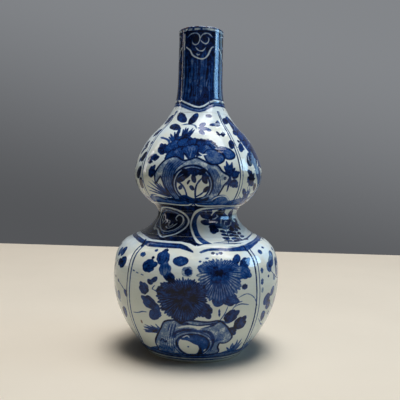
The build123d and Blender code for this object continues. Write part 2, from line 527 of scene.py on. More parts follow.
    def fan(self, root, tip, width, tone, edge):
        """A broad petal with a scalloped rim and streaks that run out to it."""
        root, tip = np.array(root, float), np.array(tip, float)
        girth = 1 / self.degrees((root[1] + tip[1]) / 2)
        axis = (tip - root) * (girth, 1)
        size = np.hypot(*axis)
        axis /= size
        side = np.array((axis[1], -axis[0]))
        angle = np.linspace(-1, 1, SCALLOPS * 4 + 1)
        swell = 0.05 * np.abs(np.sin(angle * pi * SCALLOPS / 2)) - 0.05
        out = size * (np.cos(angle * 0.95) * 0.42 + 0.58 + swell)
        across = width / 2 * np.sin(angle * 1.35)
        rim = root + (axis * out[:, None] + side * across[:, None]) / (girth, 1)
        self.fill(np.vstack((root, rim)), tone, edge, lay=True, curved=False)
        self.brush(rim, 1.1, edge, swell=even)
        for share in np.linspace(-0.7, 0.7, SCALLOPS):
            end = root + (axis * size * 0.84 + side * share * width / 2) / (girth, 1)
            self.brush((root + (end - root) * 0.25, end), 0.6, edge, None, tapered)


def oval(turn, climb, wide, tall):
    """Points round an oval, its half width in degrees and its half height in millimetres."""
    angles = np.arange(OVAL_POINTS) * 2 * pi / OVAL_POINTS
    return [(turn + wide * sin(angle), climb + tall * cos(angle)) for angle in angles]


# Lower bulb. Leaves are listed as root, tip, width and tone; dabs as place, width, height and tone.

def paint_garden(sheet):
    """Two chrysanthemums over a hollow rock: the front panel of the lower bulb, and the back one."""
    each(sheet.leaf, (
        (-20.6, 90, -13, 86.6, 7.6, DARK), (-15, 102.2, -5, 103, 8.4, FULL),
        (-29, 83.4, -24.4, 87.6, 4, DARK), (-27.4, 81.6, -31.4, 84.6, 4, DARK),
        (24, 100, 29.6, 108.4, 6.4, FULL), (-24.6, 59.4, -31, 50.4, 9.6, 0.74),
        (-28, 66, -24, 57, 7, FULL), (15, 76, 13, 64.6, 11, FULL),
    ))
    each(sheet.lobed_leaf, (
        (-22, 97.6, -22, 112.6, 12.5, FULL), (-36.4, 94, -25, 98.8, 11.5, FULL),
        (-19.6, 88.6, -19.4, 101.6, 11.5, MID), (-31.4, 72.6, -37.4, 82, 10.5, 0.74),
        (-25.4, 61.6, -36.6, 69.6, 11.5, 0.74), (16, 72.6, 28.6, 67.6, 11.5, FULL),
        (3, 68, 9.6, 53.6, 12.5, DARK), (28.6, 96.6, 37.8, 104, 9, FULL), (28, 95, 37.4, 88.4, 11, MID),
        (19, 51.4, 29.6, 59.6, 12, DARK), (29.6, 41.6, 35.6, 54, 14.5, DARK),
        (22.6, 42, 31.4, 35, 11, DARK),
    ))
    sheet.dab(-5.4, 93.6, 9.6, 8.6, WASH)
    each(sheet.dab, (
        (-38.2, 105.2, 5.8, 4.4, FULL), (-28.8, 110.6, 3.4, 2.8, FULL), (-21.4, 111.6, 4.2, 3.4, DARK),
        (-29.2, 103.4, 2.6, 2.6, INK), (31.9, 80.2, 6, 4.6, DARK), (11.2, 110.2, 3.4, 2.4, DARK),
        (14, 109.4, 2.6, 1.8, FULL), (16.6, 110.2, 3.8, 2.6, DARK), (6.8, 105.2, 3.2, 1.6, MID),
        (2.4, 102.4, 2.2, 1.6, FULL), (-4.8, 93.4, 6.4, 6, DARK), (-24, 56, 5, 7, FULL),
    ))
    sheet.strokes((
        ((-47, 52.4), (-42, 53.2), (-37, 55.4), (-32.5, 56)), ((-26, 80.5), (-27.6, 77.4), (-24.4, 75.8)),
        ((27, 71.2), (33.8, 74), (40, 70), (44, 62)), ((24.5, 63), (29.5, 65.6), (36.5, 64)),
        ((20.8, 65), (19, 58), (16, 51)), ((23.5, 60.5), (27, 66.5), (31, 68)),
        ((-44.5, 90.6), (-42.5, 90)), ((-41.2, 89.2), (-39, 88.6)), ((-37, 88.2), (-34.6, 87.6)),
        ((17, 52), (22, 48.6), (25, 50)),
    ), 0.85, FULL)
    sheet.brush(((15, 62.6), (15.6, 55.5)), 1.7, DARK)
    sheet.brush(((-19, 92), (-14, 84), (-12, 76)), 1.2, DARK)
    sheet.tuft((-24, 38), (
        (-41, 33.4), (-42, 36), (-41, 40), (-38.5, 42.4), (-33, 43.4), (-28, 45.4),
    ), 3.2, FULL)
    sheet.tuft((-25, 38), ((-41.5, 34.6), (-40.4, 38.6), (-36, 42)), 2, DARK)
    sheet.tuft((40, 12), ((32.2, 24.6), (36, 28.4), (40.6, 29), (44.4, 23)), 4, 0.56)
    sheet.tuft((35, 12), ((28, 20), (32, 23), (37, 24)), 3.2, FULL)

    sheet.chrysanthemum((14.4, 94), (19, 23, 11, 26), 48, 0.47, 0.76, 0.25)
    sheet.tuft((14, 91), (
        (4.6, 94), (6, 98.6), (9.4, 100), (13, 99), (17, 100.6), (20.6, 98), (22, 94),
    ), 3.4, DARK)
    sheet.tuft((16, 94), ((15, 84), (18.6, 86), (21, 89)), 2, DARK)
    sheet.chrysanthemum((-6, 74), (27, 19, 15, 26), 60, 0.84, 1.0, 0.58)
    paint_garden_rock(sheet)


def paint_garden_rock(sheet):
    """The hollow rock at the foot of the garden panel."""
    rock = (
        (-34, 17), (-33.6, 24), (-28.4, 34), (-24, 42), (-20, 49.5), (-12, 51.6), (-9.5, 49), (-4, 52),
        (8, 50.6), (16, 51.4), (22, 45.5), (26, 39), (29.2, 32.4), (27.6, 27.6), (24, 25.8), (20, 26.4),
        (19.4, 22), (18, 12), (-30, 11),
    )
    sheet.outlined(rock, WASH + 0.02, MID, 1.5)
    sheet.brush(((-13, 51), (-8, 49), (0, 46.6), (9, 47), (17, 51)), 3.4, DARK, INK)
    sheet.brush(((-11.5, 44), (-5, 46.4), (3, 45.6), (10, 47.2)), 2.2, HAZE, lay=True)
    sheet.brush((
        (-15, 33), (-13, 39), (-6, 42.2), (2, 41.4), (9, 40.4), (13, 35), (14.6, 27), (14, 17),
    ), 3, DARK)
    sheet.strokes((
        ((-12.4, 49), (-14.4, 41), (-17, 31)), ((-14.6, 48), (-17, 40), (-18.6, 32)),
        ((-17, 47), (-19, 40)),
    ), 1.3, DARK)
    sheet.fill(((-33, 14), (-31, 20), (-25, 22), (-20, 18), (-19, 12)), MID, FULL)
    for count in range(9):
        turn = -31 + count * 1.9
        sheet.brush((
            (turn, 13 + count % 3), (turn + 1.2, 21 + count), (turn + 3.4, 28 + count * 1.6),
        ), 0.8, FULL)
    sheet.brush(((-29, 25), (-25.4, 29.4), (-24, 25.4), (-21.4, 29)), 1.2, INK)
    for count in range(6):
        sheet.brush((
            (16 + count * 1.5, 44 - count * 2.6), (17.4 + count, 36 - count), (15.6, 28),
        ), 0.7, FULL)
    sheet.fill(oval(-1.4, 24.5, 13, 13.4), FULL, INK, lay=True)
    sheet.fill(oval(-2.6, 24.2, 10.2, 11.4), BARE, None, lay=True)
    sheet.fill((
        (2, 13), (9, 15), (11, 24), (8, 33), (3, 36), (-3, 36.6), (-8, 34), (-10, 31), (-5, 30), (0, 26),
        (3, 24), (4, 18),
    ), FULL, DARK, lay=True)
    sheet.fill(((3, 12.6), (7, 13.6), (6, 20), (4.6, 22)), INK)
    sheet.brush(((-9, 33.4), (-5.4, 36), (-3.6, 33.8)), 1.4, HAZE, lay=True)
    sheet.brush(((6.4, 36.6), (9.2, 32.4)), 1.2, HAZE, lay=True)
    sheet.brush(((8, 17), (9.4, 20)), 1.4, HAZE, lay=True)
    sheet.dab(-5, 22.5, 1.6, 2, FULL)
    sheet.ring(oval(-1.4, 24.5, 13.2, 13.6), 1.3, INK)
    sheet.ring(oval(-1.6, 24.6, 15.6, 16.2), 0.9, DARK)


def paint_meadow(sheet):
    """Leafy sprays beside a small rock: the side panels of the lower bulb."""
    each(sheet.leaf, (
        (-32, 95, -22.5, 102, 9, FULL), (-34.5, 96.5, -28, 91.5, 9, MID), (-27, 99, -19.6, 106, 8, MID),
        (-37, 61.6, -29.5, 69, 9.5, FULL), (-33, 62.6, -27, 56.5, 9, FULL), (-29, 68, -23.4, 75, 7, MID),
        (-35.5, 54.5, -31, 43.6, 7, FULL), (-20, 92, -14.5, 100, 8, FULL),
        (-14, 84.6, -20.6, 90.4, 7.6, MID), (13, 84, 20.4, 91, 8, FULL), (31, 91, 39.6, 99, 9.4, DARK),
        (27.6, 91.6, 33, 96.4, 6, DARK), (29, 100, 34, 108.6, 7.5, FULL), (22, 100, 27.4, 107, 7.5, MID),
        (38.6, 71.4, 42.6, 65.6, 5, FULL), (30.6, 43, 36.6, 54, 8.6, FULL), (24, 62, 17.5, 70, 8.6, FULL),
        (26, 60, 31, 68, 8, MID), (-12, 56, -18.4, 64, 8.6, FULL), (-8, 60, -10.4, 70, 7.6, MID),
        (9, 58, 15.4, 66, 8, FULL),
    ))
    each(sheet.dab, (
        (-37.2, 108.6, 5.8, 4.6, FULL), (-30, 112.4, 4, 2.2, FULL), (-40.6, 92, 4, 5, MID),
        (-40.6, 82.4, 4, 5.4, MID), (-40, 75, 3.4, 5, WASH), (-23.6, 83.4, 6, 6, WASH),
        (-33, 86, 3, 2.4, FULL), (30.2, 77.6, 3.6, 3, FULL), (40.6, 68.6, 4.2, 3.4, FULL),
        (24, 80, 3.4, 2.6, DARK), (-4, 113, 4, 2.4, DARK), (3.4, 114, 3.6, 2.2, FULL),
        (-13, 108, 4.6, 3.6, FULL), (14, 108.6, 4.8, 3.6, DARK), (19, 50, 4, 3.4, FULL),
        (-24, 50, 4.4, 3.6, FULL),
    ))
    sheet.strokes((
        ((-26, 60), (-20, 55), (-12, 52), (-4, 54)), ((24, 62), (16, 56), (8, 53)),
        ((30, 78), (36, 74), (40, 71)), ((-31, 92), (-22, 84), (-12, 80)), ((26, 96), (20, 88), (13, 82)),
        ((-38, 48), (-30, 40), (-24, 38)), ((-22, 74), (-16, 78), (-10, 79)),
        ((32, 58), (26, 60), (22, 63)),
    ), 0.85, FULL)
    sheet.chrysanthemum((0, 90), (19, 19, 14, 24), 46, 0.46, 0.74, 0.2)
    sheet.tuft((0, 88), ((-8, 91), (-6, 95), (-2, 97), (3, 97), (7, 95), (8.6, 90)), 3, DARK)
    sheet.fan((-2, 50), (-13, 58), 15, FULL, INK)
    sheet.fan((2, 50), (13, 58), 15, FULL, INK)
    sheet.fan((0, 47), (0, 64), 18, MID, DARK)
    rock = (
        (-22, 12), (-21, 22), (-15, 33), (-8, 41), (0, 46), (9, 43), (15, 36), (22, 33), (25, 24),
        (22, 12),
    )
    sheet.outlined(rock, WASH, MID, 1.5)
    for count in range(7):
        turn = -15 + count * 5
        sheet.brush(((turn, 14), (turn + 2, 22 + count % 3 * 2), (turn * 0.5, 36)), 0.8, FULL)
    sheet.fill(oval(3, 24, 8, 7.6), BARE, FULL, lay=True)
    sheet.ring(oval(3, 24, 8.4, 8), 1.2, INK)
    sheet.dab(4, 22, 6, 5, FULL)
    sheet.tuft((-32, 13), ((-41, 20), (-38, 26), (-33, 29), (-28, 26), (-25, 21)), 2.2, MID)
    sheet.tuft((33, 13), ((41, 21), (38, 27), (33, 30), (28, 25)), 2.2, MID)


LOWER_BORDER = (
    (-90, 129.5), (-75, 129), (-60, 127.4), (-50, 124.6), (-45, 122.6), (-40, 120.8), (-30, 120.5),
    (-12, 120.5), (-5, 118.2), (-1, 115.2), (1, 115.2), (5, 117.2), (10, 118.4), (20, 118.2), (30, 117.2),
    (37, 118.2), (45, 121), (55, 124), (65, 127), (75, 129), (90, 129.5),
)
LOWER_DIVIDERS = (
    ((-43, 118), (-44.5, 110), (-46.5, 100), (-48.2, 80), (-49.8, 60), (-51.4, 40), (-53.4, 25),
     (-57, 13)),
    ((40, 118), (40.8, 110), (42, 100), (43.3, 80), (44.8, 60), (46.8, 40), (49, 26), (52, 12)),
)


def lifted(points, rise):
    return [(turn, climb + rise) for turn, climb in points]


def shifted(points, turn_shift):
    return [(turn + turn_shift, climb) for turn, climb in points]


def level(climb):
    return ((-90, climb), (90, climb))


# Half width of a rib, in millimetres
RIB_REACH = 3.2


def paint_dividers(sheet, lines, half_gap, width):
    """Pairs of upright lines between the panels, each pair with a moulded rib under it."""
    for half_turn in (0, 180):
        for line in lines:
            line = shifted(line, half_turn)
            sheet.raise_rib(line, RIB_REACH)
            sheet.brush(shifted(line, -half_gap), width, INK, swell=even)
            sheet.brush(shifted(line, half_gap), width * 0.9, DARK, swell=even)


def paint_lower_bulb(sheet):
    """Panels, their ribs and lines, and the lines round the foot."""
    ground = ((-48, 12), (-35, 17.4), (-31, 15), (18, 13), (30, 15), (44, 12), (52, 8), (0, 3), (-56, 8))
    for middle, flip in ((-5, 1), (177, -1)):
        sheet.face(middle, -5, flip)
        sheet.fill(ground, MID, FULL)
        paint_garden(sheet)
    for middle in (88, -93):
        sheet.face(middle)
        sheet.fill(shifted(ground, 4), MID, FULL)
        paint_meadow(sheet)
    sheet.face(0)
    paint_dividers(sheet, LOWER_DIVIDERS, 1.5, 1.15)
    for climb, width, tone in ((9.6, 6.4, MID), (12.6, 1.1, DARK), (8, 1.2, INK), (3.2, 1, DARK)):
        sheet.band(level(climb), width, tone)
    sheet.band(level(5.6), 1.3, HAZE, lay=True)


def paint_lower_border(sheet):
    """Bracket-shaped band and moulding where the shoulder meets the waist, twice round."""
    for half_turn in (0, 180):
        sheet.face(half_turn)
        sheet.fill((
            (-91, 127.4), (-75, 126.6), (-60, 124.6), (-50, 121.6), (-43.6, 119.6), (-38, 119.5),
            (-25, 119.6), (-12, 119.3), (-7, 116.6), (-2.4, 111.8), (-2.2, 110.4), (-6, 112.2),
            (-12, 114.4), (-20, 114.2), (-38, 114), (-44, 115.8), (-52, 118), (-62, 121), (-76, 122.8),
            (-91, 123.2),
        ), 0.77, INK, lay=True, curved=False)
        sheet.fill((
            (1.8, 111), (5, 113.4), (10, 114.9), (16, 115.1), (22, 114.7), (28, 115.2), (33, 115.8),
            (38, 118.6), (45, 120.6), (52, 122.8), (60, 124.8), (75, 127), (91, 127.4), (91, 123.2),
            (75, 122.6), (60, 119.8), (50, 116.6), (44, 113.6), (38, 111.4), (30, 111.5), (22, 111.8),
            (14, 112.9), (8, 112.5), (3, 110),
        ), 0.6, DARK, lay=True, curved=False)
        sheet.brush(((-40, 116.8), (-26, 116.9), (-12, 116.6)), 0.9, MID, lay=True)
        sheet.brush(((36, 117), (44, 117.6), (52, 120), (64, 123)), 1, WASH + 0.1, lay=True)
        sheet.brush(((5, 120), (12, 119.4), (18, 118.4), (24, 116.9), (30, 115.6)), 0.8, MID)
        sheet.brush(((35.4, 120), (37, 116.4), (38.2, 111)), 2, INK)
        sheet.brush(((-45.4, 122), (-44.2, 118), (-43.6, 112)), 2.2, INK)
        sheet.brush(((0, 109), (0, 118.4)), 3, BARE, swell=blade, lay=True)
    sheet.face(0)
    sheet.band(LOWER_BORDER, 2.6, BARE + 0.05, lay=True)
    sheet.raise_band(lifted(LOWER_BORDER, -0.6), 3)


# Waist

def paint_waist(sheet):
    """Navy ground with a scrolled heart and a white flowered oval, twice round."""
    sheet.ground(lifted(LOWER_BORDER, 2), 166.2, INK - 0.02)
    for half_turn in (0, 180):
        sheet.face(half_turn)
        paint_heart(sheet)
        paint_oval(sheet)
    sheet.face(0)
    top = (
        (-90, 168.4), (-60, 168.2), (-40, 168), (-20, 166.4), (-10, 166.8), (-6.6, 169), (-4.6, 171),
        (-2.6, 168.6), (0, 166.6), (10, 165.6), (30, 166), (45, 165.4), (60, 165.6), (80, 167),
        (90, 168.4),
    )
    sheet.band(lifted(top, 2.6), 3.6, FULL)
    sheet.band(lifted(top, 1.8), 0.9, INK)
    sheet.band(top, 2.1, BARE + 0.03, lay=True)
    sheet.band(lifted(top, -1.6), 1, INK)


def paint_heart(sheet):
    """A scrolled heart, drawn in reserve on the navy ground."""
    heart = (
        (-64, 147), (-65.4, 154), (-58, 160), (-45, 162), (-30, 160.4), (-18, 156.6), (-11.6, 152),
        (-11.4, 147), (-15, 141.4), (-22, 135), (-29, 131.4), (-33.4, 129.6), (-39.6, 132.6),
        (-48, 138.6), (-58, 141),
    )
    sheet.ring(heart, 1.8, BARE, lay=True)
    inner = [(-38 + (turn + 38) * 0.80, 147.4 + (climb - 147) * 0.76) for turn, climb in heart]
    sheet.ring(inner, 0.9, WASH, lay=True)
    sheet.strokes((
        ((-51, 148.6), (-53.6, 151), (-55.6, 154.4), (-59, 153), (-57.4, 149), (-50, 143.6),
         (-43, 139.4), (-35.6, 137.4), (-28, 139), (-22, 143.4), (-18.4, 149), (-20, 154),
         (-26, 155.4), (-30, 152.6), (-27.4, 150.4)),
        ((-49, 147), (-46.6, 150.4), (-42.4, 149.6), (-43.6, 147)),
        ((-40.6, 150), (-37.4, 149), (-37.6, 145.6), (-34, 143.6), (-31.4, 146.4)),
        ((-39.4, 143), (-34.6, 141.4), (-30.6, 143.4), (-26, 147.4)),
    ), 1.3, BARE, swell=even, lay=True)
    sheet.brush(((-60, 143), (-57, 140.6), (-52, 138.6)), 3, BARE, lay=True)


def paint_oval(sheet):
    """A white oval inside two lines, with a spray in it."""
    sheet.fill((
        (1, 120.5), (-2.8, 130), (-4.9, 135), (-6.8, 140), (-8.6, 145), (-9, 150), (-7, 155.4),
        (-3.4, 159.4), (2.4, 162), (10, 163.4), (30, 164.6), (60, 164.4), (84, 162.4), (94, 158),
        (98, 150), (96, 140), (92, 131), (87, 120.5), (78, 120.3), (40, 120.3), (10, 120.3),
    ), BARE, lay=True)
    sheet.fill((
        (4.4, 120.8), (0.2, 130), (-2.2, 135), (-4, 140), (-6, 145), (-6.4, 150), (-4.4, 154.6),
        (-0.6, 157.6), (4, 159.8), (11, 161.4), (30, 162.8), (60, 162.6), (80, 160.4), (90.6, 156.6),
        (94.4, 150), (92.6, 140), (88.4, 131), (84, 120.6), (76, 120.4), (40, 120.4), (12, 120.4),
    ), FULL, INK, lay=True)
    sheet.fill((
        (11.4, 120.8), (6.8, 128), (3, 135), (0.6, 142), (-0.8, 149), (0.4, 153.8), (4.4, 157),
        (11, 159.4), (22, 161), (40, 161.4), (60, 161), (76, 158.8), (86, 155), (90.4, 149), (89, 140),
        (85, 131), (78, 120.8), (70, 120.6), (40, 120.6), (18, 120.6),
    ), BARE, lay=True)
    sheet.brush((
        (13, 121.4), (22, 123), (34, 123), (44, 125.6), (56, 129), (68, 131.4), (80, 132.4),
        (92, 132.6),
    ), 1.1, DARK)
    paint_spray(sheet)


def paint_spray(sheet):
    """Blossom and leaves inside the white oval."""
    sheet.fill((
        (17, 152), (24, 158.6), (31, 160.4), (40, 158), (46, 155.6), (56, 153.4), (60, 149), (56, 144),
        (50, 142), (43, 143.6), (35, 141.4), (29, 143), (22, 144), (17, 148),
    ), DARK, INK)
    each(sheet.leaf, (
        (20, 154, 3.4, 157.6, 6, DARK), (20, 157, 12, 161, 4.6, DARK), (19, 149.6, 4.4, 150.4, 5.4, DARK),
        (21, 146, 14, 144, 5, INK), (21, 147, 17, 136.4, 7, INK), (24, 143, 20.6, 138.4, 4.4, DARK),
        (26, 153, 33, 161.4, 6, INK), (34, 155, 39.6, 161.4, 5, INK), (50, 152, 56, 161, 6.6, DARK),
        (57, 151, 70, 150.4, 5, DARK), (58, 148, 66, 145.4, 4.4, DARK), (54, 146, 60, 140.4, 5.4, INK),
        (44, 146, 47, 140.4, 5, INK),
    ))
    for stem_turn, root, rows in ((32.4, 125, 4), (45.6, 127, 4)):
        for row in range(rows):
            turn, climb = stem_turn - 1 + row * 0.5, root + row * 4.4
            sheet.leaf(turn, climb, turn - 7.4, climb + 1.6, 3.5, DARK)
            sheet.leaf(turn + 1, climb - 0.8, turn + 8, climb + 0.7, 3.3, FULL if row % 2 else DARK)
    sheet.strokes((
        ((25.6, 121), (28, 127), (32, 133), (34.6, 141)), ((42, 124), (44.6, 132), (46, 141)),
    ), 0.9, DARK)
    sheet.strokes((
        ((20, 152.4), (25, 153.2), (28.6, 155)), ((36, 147), (40, 150.4), (44, 149.6)),
        ((41, 145), (47, 147), (52, 150)), ((31, 147.6), (34, 151.6), (38, 154)), ((46, 152), (51, 153.4)),
        ((24, 148), (28, 150.4)), ((27, 156.4), (30, 154.4)), ((38, 143.6), (41, 146)),
    ), 1.1, HAZE, lay=True)
    sheet.brush(((74, 153.8), (64, 154.2), (58, 152.4), (59, 149.8), (63, 150.4)), 1.2, HAZE, lay=True)


# Upper bulb

def paint_grotto(sheet):
    """A peony over a hollow rock: the front panel of the upper bulb, and the back one."""
    each(sheet.leaf, (
        (-41, 266, -20, 254.6, 8, DARK), (-14.6, 251, -4, 265, 6.6, DARK),
        (-43.6, 250.4, -25, 244.4, 7.4, DARK), (0, 249, 8, 254, 4.6, MID), (-1.6, 247, 12, 246, 5, MID),
        (7, 247, 14.4, 243, 4, MID), (0.6, 244, 6, 238.4, 4.2, MID), (22.6, 237.6, 20.6, 243, 2.6, DARK),
        (26, 237, 29.6, 243, 3.4, DARK), (23, 239, 31, 240.4, 2.6, FULL),
        (31.6, 224.4, 35, 233.4, 6, DARK), (14, 251, 27, 251.4, 3.6, FULL),
        (23, 249.4, 30, 257.4, 4.6, FULL),
    ))
    each(sheet.lobed_leaf, (
        (-31, 218, -41, 228.6, 10.5, DARK), (-50.4, 212, -36.4, 215, 9.6, DARK),
        (-45.6, 196.6, -39, 207.6, 8.6, DARK), (28.6, 198, 36.4, 203, 7, FULL),
        (28.6, 195.4, 36.6, 189, 7.6, FULL),
    ))
    sheet.dab(15.8, 262.3, 6, 3.6, DARK)
    sheet.brush(((-26.4, 248), (-24.4, 243), (-24, 238), (-22, 232)), 3, DARK)
    sheet.brush(((-25.4, 250.6), (-15, 251.8), (-6, 250), (-3.4, 246)), 1.3, MID)
    sheet.brush(((-45.6, 235.4), (-38, 233.8), (-32, 231.4), (-28.6, 226)), 2, FULL)
    sheet.tuft((-15, 230), (
        (-19.6, 245), (-17, 247.4), (-14, 246.8), (-8, 246.6), (-5.4, 244.6), (-11, 243),
    ), 4, DARK)
    sheet.tuft((-22, 228), ((-34, 239.4), (-34, 235.6), (-29.4, 241.6), (-26, 240), (-30, 233)), 4, DARK)
    sheet.fill(((-27, 226), (-25, 233), (-18, 237), (-10, 236), (-6, 232), (-10, 226)), FULL, DARK)
    sheet.tuft((26, 200), ((21.6, 208), (24, 212.4), (27, 209), (29.6, 211.6), (32, 206.4)), 5.6, DARK)
    sheet.tuft((26.6, 199), ((24, 190), (26.6, 184.4), (29, 189.4)), 3.4, DARK)
    sheet.tuft((-27, 178), (
        (-52, 189), (-48, 193), (-43, 194), (-39, 193.4), (-35, 191.6), (-52, 184.4),
    ), 2.6, DARK)
    each(sheet.fan, (
        ((-16, 212), (-32, 227), 13, FULL, INK), ((-12, 212), (-26, 232), 12, FULL, INK),
        ((-8, 212), (-17, 234.6), 13, FULL, INK), ((-4, 213), (-6, 234), 12, DARK, INK),
        ((-2, 214), (4, 233), 12, DARK, INK), ((1, 216), (14, 230.6), 14, FULL, INK),
        ((-14, 210.6), (-29, 218), 12, FULL, INK), ((-12, 211), (-20, 224), 12, 0.56, INK),
        ((-5, 210), (-8.4, 227), 17, 0.52, INK), ((0, 216), (11, 226), 10, 0.54, INK),
    ))
    for rim, root, tone in ((
        ((14, 222), (18, 225), (24, 225.4), (30, 223.6), (34, 219.6), (32.4, 215.6), (27, 214),
         (22.6, 215.6), (22, 219), (18, 222)), (17, 223), 0.5,
    ), (
        ((4.6, 218.6), (8, 222.4), (13, 222.8), (18, 221), (22.4, 216.6), (21.6, 212.4), (17, 209.6),
         (11, 209), (7, 212)), (6, 218), 0.52,
    )):
        sheet.outlined(rim, tone, INK, 1.1)
        for tip in rim[3:7]:
            sheet.brush((
                root, (root[0] + (tip[0] - root[0]) * 0.85, root[1] + (tip[1] - root[1]) * 0.85),
            ), 0.6, DARK)
    sheet.brush(((14, 223.6), (20, 225), (27, 224.6)), 0.8, HAZE, lay=True)
    sheet.brush(((0, 219.6), (3, 217.6), (7, 218)), 1.3, BARE, lay=True)
    sheet.brush(((-7.4, 214), (-6.4, 221)), 0.8, WASH, lay=True)
    sheet.brush(((10.6, 229.6), (15, 226.6), (17.6, 222)), 0.7, HAZE, lay=True)
    sheet.brush(((-45, 212.4), (-39, 209.4), (-36, 206.6)), 1.4, BARE, lay=True)
    sheet.brush(((-45.4, 208.4), (-37, 211.6)), 1.4, BARE, lay=True)
    paint_grotto_rock(sheet)


def paint_grotto_rock(sheet):
    """The hollow rock at the foot of the grotto panel, with leaves in its opening."""
    rock = (
        (-39, 191.6), (-38.6, 200), (-33.4, 208), (-28, 213), (-20, 215.4), (-13, 212), (-8, 212.6),
        (-2, 214.6), (4, 212), (10, 209), (16, 208), (20, 203), (26.4, 199), (25.6, 195), (22.6, 191),
        (20, 184), (17, 176), (12, 172), (-21, 172), (-24, 177), (-28, 184), (-31, 193), (-32.6, 197.4),
        (-35, 195.4),
    )
    sheet.fill(rock, WASH - 0.06, WASH + 0.1, lay=True)
    sheet.fill((
        (10, 207), (15, 206), (20, 201.6), (24.4, 197.8), (22.4, 192), (18, 190), (15, 196), (12, 202),
    ), 0.2, None, lay=True)
    sheet.ring(rock, 1.5, INK)
    for count in range(11):
        turn = -31 + count * 1.05
        sheet.brush((
            (turn + 5, 176), (turn, 190), (turn + 1.4, 203), (turn + 6 + count * 0.5, 212),
        ), 0.8, FULL if count % 2 else INK)
    sheet.dab(22.6, 197.2, 2.6, 2.8, INK)
    sheet.brush(((22.4, 197), (22.8, 197.4)), 1.3, BARE, None, rounded, lay=True)
    for count in range(6):
        turn = 12.4 + count * 1.35
        sheet.brush((
            (turn - 1, 180), (turn, 190), (turn - 2, 199), (turn - 5.6, 207 - count * 0.4),
        ), 0.8, FULL if count % 2 else DARK)
    sheet.fill(oval(-4.6, 189.6, 17, 17.6), MID + 0.06, DARK, lay=True)
    for wide, tall, width, tone in ((17.2, 18.2, 1.2, INK), (15.8, 16.6, 0.7, HAZE), (14.6, 15.4, 1, INK)):
        sheet.ring(oval(-4.6, 189.6, wide, tall), width, tone, lay=True)
    sheet.fill(oval(-4.4, 189.4, 13.6, 14.4), BARE + 0.04, None, lay=True)
    each(sheet.leaf, (
        (-10, 199, -18, 194, 5, DARK), (-8, 200, -13, 204, 5, INK), (-4, 199, -3, 205, 6, DARK),
        (0, 200, 6, 203.4, 5.4, INK), (-4, 200, -2.4, 192.6, 4, DARK), (4, 200, 7.4, 192, 4.4, DARK),
        (3, 196, 9, 198.4, 3.6, DARK), (5, 183.6, 9.4, 189.4, 4, DARK), (-7, 190, -4, 185.4, 3.6, DARK),
        (-12, 196, -6, 202, 5, DARK), (-9, 191, -6.6, 195, 2, INK), (-14, 190, -16.6, 186, 3.4, DARK),
    ))
    sheet.fill((
        (-16, 198), (-12, 200), (-9.6, 197.4), (-6, 200.6), (-2, 198.6), (2, 201), (6, 197.4), (8.6, 196),
        (4.6, 203), (-4.6, 205.6), (-13.6, 203),
    ), DARK, INK)
    sheet.strokes((
        ((-2, 174), (-2.4, 184), (-1, 191), (3, 197)), ((-10, 176), (-11, 185), (-14, 191), (-18, 193.6)),
        ((-2.4, 178), (3, 182), (7, 186.6)),
    ), 1.5, DARK)
    sheet.fill((
        (-18, 178), (-12, 180.6), (-4, 177), (4, 178.6), (10, 180), (8, 173), (-16, 173),
    ), DARK, INK)
    sheet.brush(((3, 176.6), (8, 178.6), (11, 181)), 1.6, WASH, lay=True)


